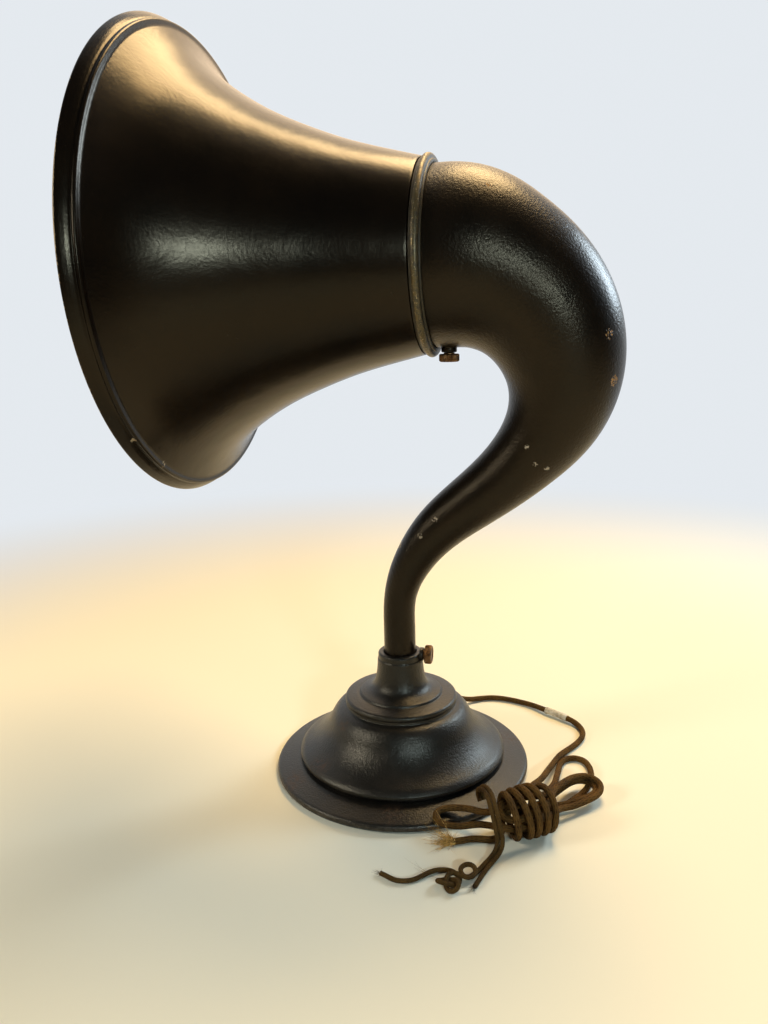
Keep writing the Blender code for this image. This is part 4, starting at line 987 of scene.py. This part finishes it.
TAPE_CENTRE = (-103.8, 128.7, 4.2)
TAPE_HALF = 12.0
TAPE_PITCH = 8.0
TAPE_SIDES = 32
TAPE_STEP = 0.4
TAPE_R = 2.95
TAPE_EDGE = 0.35
TAPE_CLEAN = (0.70, 0.66, 0.55)
TAPE_SOILED = (0.34, 0.27, 0.17)
fine_line = evenly(cord_line, TAPE_STEP)
middle = int(np.linalg.norm(fine_line - TAPE_CENTRE, axis=1).argmin())
reach = int(TAPE_HALF / TAPE_STEP)
tape_line = fine_line[middle - reach:middle + reach + 1]
turn = TAPE_STEP * np.arange(len(tape_line))[:, None] / TAPE_PITCH - np.arange(TAPE_SIDES) / TAPE_SIDES
cotton = Finish("cotton_tape", roughness=0.85)
weave = cotton.noise(0.0006, detail=2.0)
soil = cotton.noise(0.006, detail=5.0, rough=0.7)
cotton.tint(cotton.rise(soil, 0.35, 0.70), TAPE_CLEAN, TAPE_SOILED)
cotton.bump((weave, 0.0002, 0.6), (soil, 0.0003, 0.4))
tape = rope("cord_tape_fine", tape_line, TAPE_R + TAPE_EDGE * (turn % 1.0), TAPE_SIDES, cotton)
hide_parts("cord_tape")

# ------------ the two conductors
# Where the braid ends inside the bundle, its two cotton-covered conductors come out, go over the
# bundle's end side by side, and part on the table.  One has a small loop and a knot in it.

CORE_D = 3.4
CORE_SIDES = 12
CORE_APART = 0.51
CORE_PRESSED = 0.94
PAIR_ROUTE = [(77.0, 78.5, 18.5), (75.6, 76.8, 23.0), (77.5, 77.0, 28.4), (83.0, 80.0, 33.0), (91.5, 84.6, 35.0),
              (101.5, 88.6, 33.6), (109.8, 92.4, 27.0), (113.0, 95.0, 17.5), (114.0, 96.0, 9.0),
              (118.5, 94.4, 4.4)]
CORE_1_END = [(127.0, 91.6, 2.2), (137.0, 87.8, 1.9), (148.0, 84.6, 1.9), (154.0, 83.0, 1.9)]
CORE_2_END = [(127.2, 87.8, 2.2), (137.7, 82.9, 2.0), (143.6, 79.6, 2.2), (147.3, 76.3, 3.0), (145.6, 72.6, 4.4),
              (141.6, 71.8, 5.4), (138.0, 74.2, 5.8), (137.0, 77.8, 5.8), (139.3, 80.9, 5.6), (143.4, 82.0, 4.8),
              (147.6, 79.8, 4.4), (148.9, 74.0, 5.0)]
KNOT_CENTRE = np.array([155.0, 66.5, 3.7])
KNOT_SIZE = 2.9
KNOT_AHEAD = np.array([-0.46, -0.89, 0.0])
KNOT_ASIDE = np.array([0.89, -0.46, 0.0])
KNOT_OPENING = 0.35
TIP = [(144.4, 69.6, 1.9), (141.2, 65.4, 1.9), (140.9, 60.0, 2.0), (143.2, 53.6, 2.0), (148.4, 47.8, 2.0),
       (155.2, 41.3, 2.0), (158.2, 34.8, 2.0), (158.0, 27.6, 2.0), (155.0, 21.1, 2.0), (153.3, 17.3, 2.0)]
SHARED_STEP = 6


def knotted(count=31):
    """An overhand knot laid flat, which is a trefoil opened at one lobe.

    (sin t + 2 sin 2t) ahead and (cos t - 2 cos 2t) aside, at a height of -r sin 3t.
    """
    t = np.linspace(np.pi + KNOT_OPENING, 3 * np.pi - KNOT_OPENING, count)[:, None]
    plan = (np.sin(t) + 2 * np.sin(2 * t)) * KNOT_AHEAD + (np.cos(t) - 2 * np.cos(2 * t)) * KNOT_ASIDE
    return (KNOT_CENTRE + KNOT_SIZE * plan - CORE_D / 2 * np.sin(3 * t) * UP).tolist()


pair = evenly(spline(PAIR_ROUTE, 40 * len(PAIR_ROUTE)), 1.0)
beside = along_line(pair)[1]
core_finish = braid("core_braid", CORE_D, BRAID_DARK, (0.100, 0.054, 0.014))
core_lines = []
for side, end in ((CORE_APART, CORE_1_END), (-CORE_APART, CORE_2_END + knotted() + TIP)):
    own = (pair + side * CORE_D * beside)[::SHARED_STEP].tolist() + end
    core_lines.append(at_rest(own, CORE_PRESSED * CORE_D, coarse=1.4, fine=1.0))
dark_cotton = Finish("dark_cotton", roughness=0.9)
dark_cotton.tint(dark_cotton.noise(0.002), (0.012, 0.007, 0.004), (0.060, 0.032, 0.014))
pale_cotton = Finish("pale_cotton", roughness=0.9)
pale_cotton.tint(pale_cotton.noise(0.003), (0.20, 0.14, 0.07), (0.46, 0.36, 0.20))
for number, line, replaced in ((1, core_lines[0], ["cord_core_1"]),
                               (2, core_lines[1], ["cord_core_2", "cord_knot", "cord_tip"])):
    core = rope(f"conductor_{number}", line, CORE_D / 2, CORE_SIDES, core_finish)
    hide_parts(*replaced)
    end_hairs = fibres(f"conductor_{number}_hairs", (line[-1], 0.9), line[-1] - line[-4], dark_cotton,
                       seed=20 + number, count=26, length=4.2, spread=0.35, thickness=0.22)
loose = fibres("knot_hairs", (np.array([146.8, 48.6, 2.2]), 0.7), (-0.38, -1.0, 0.1), pale_cotton,
               seed=31, count=5, length=12.0, spread=0.10, thickness=0.20)
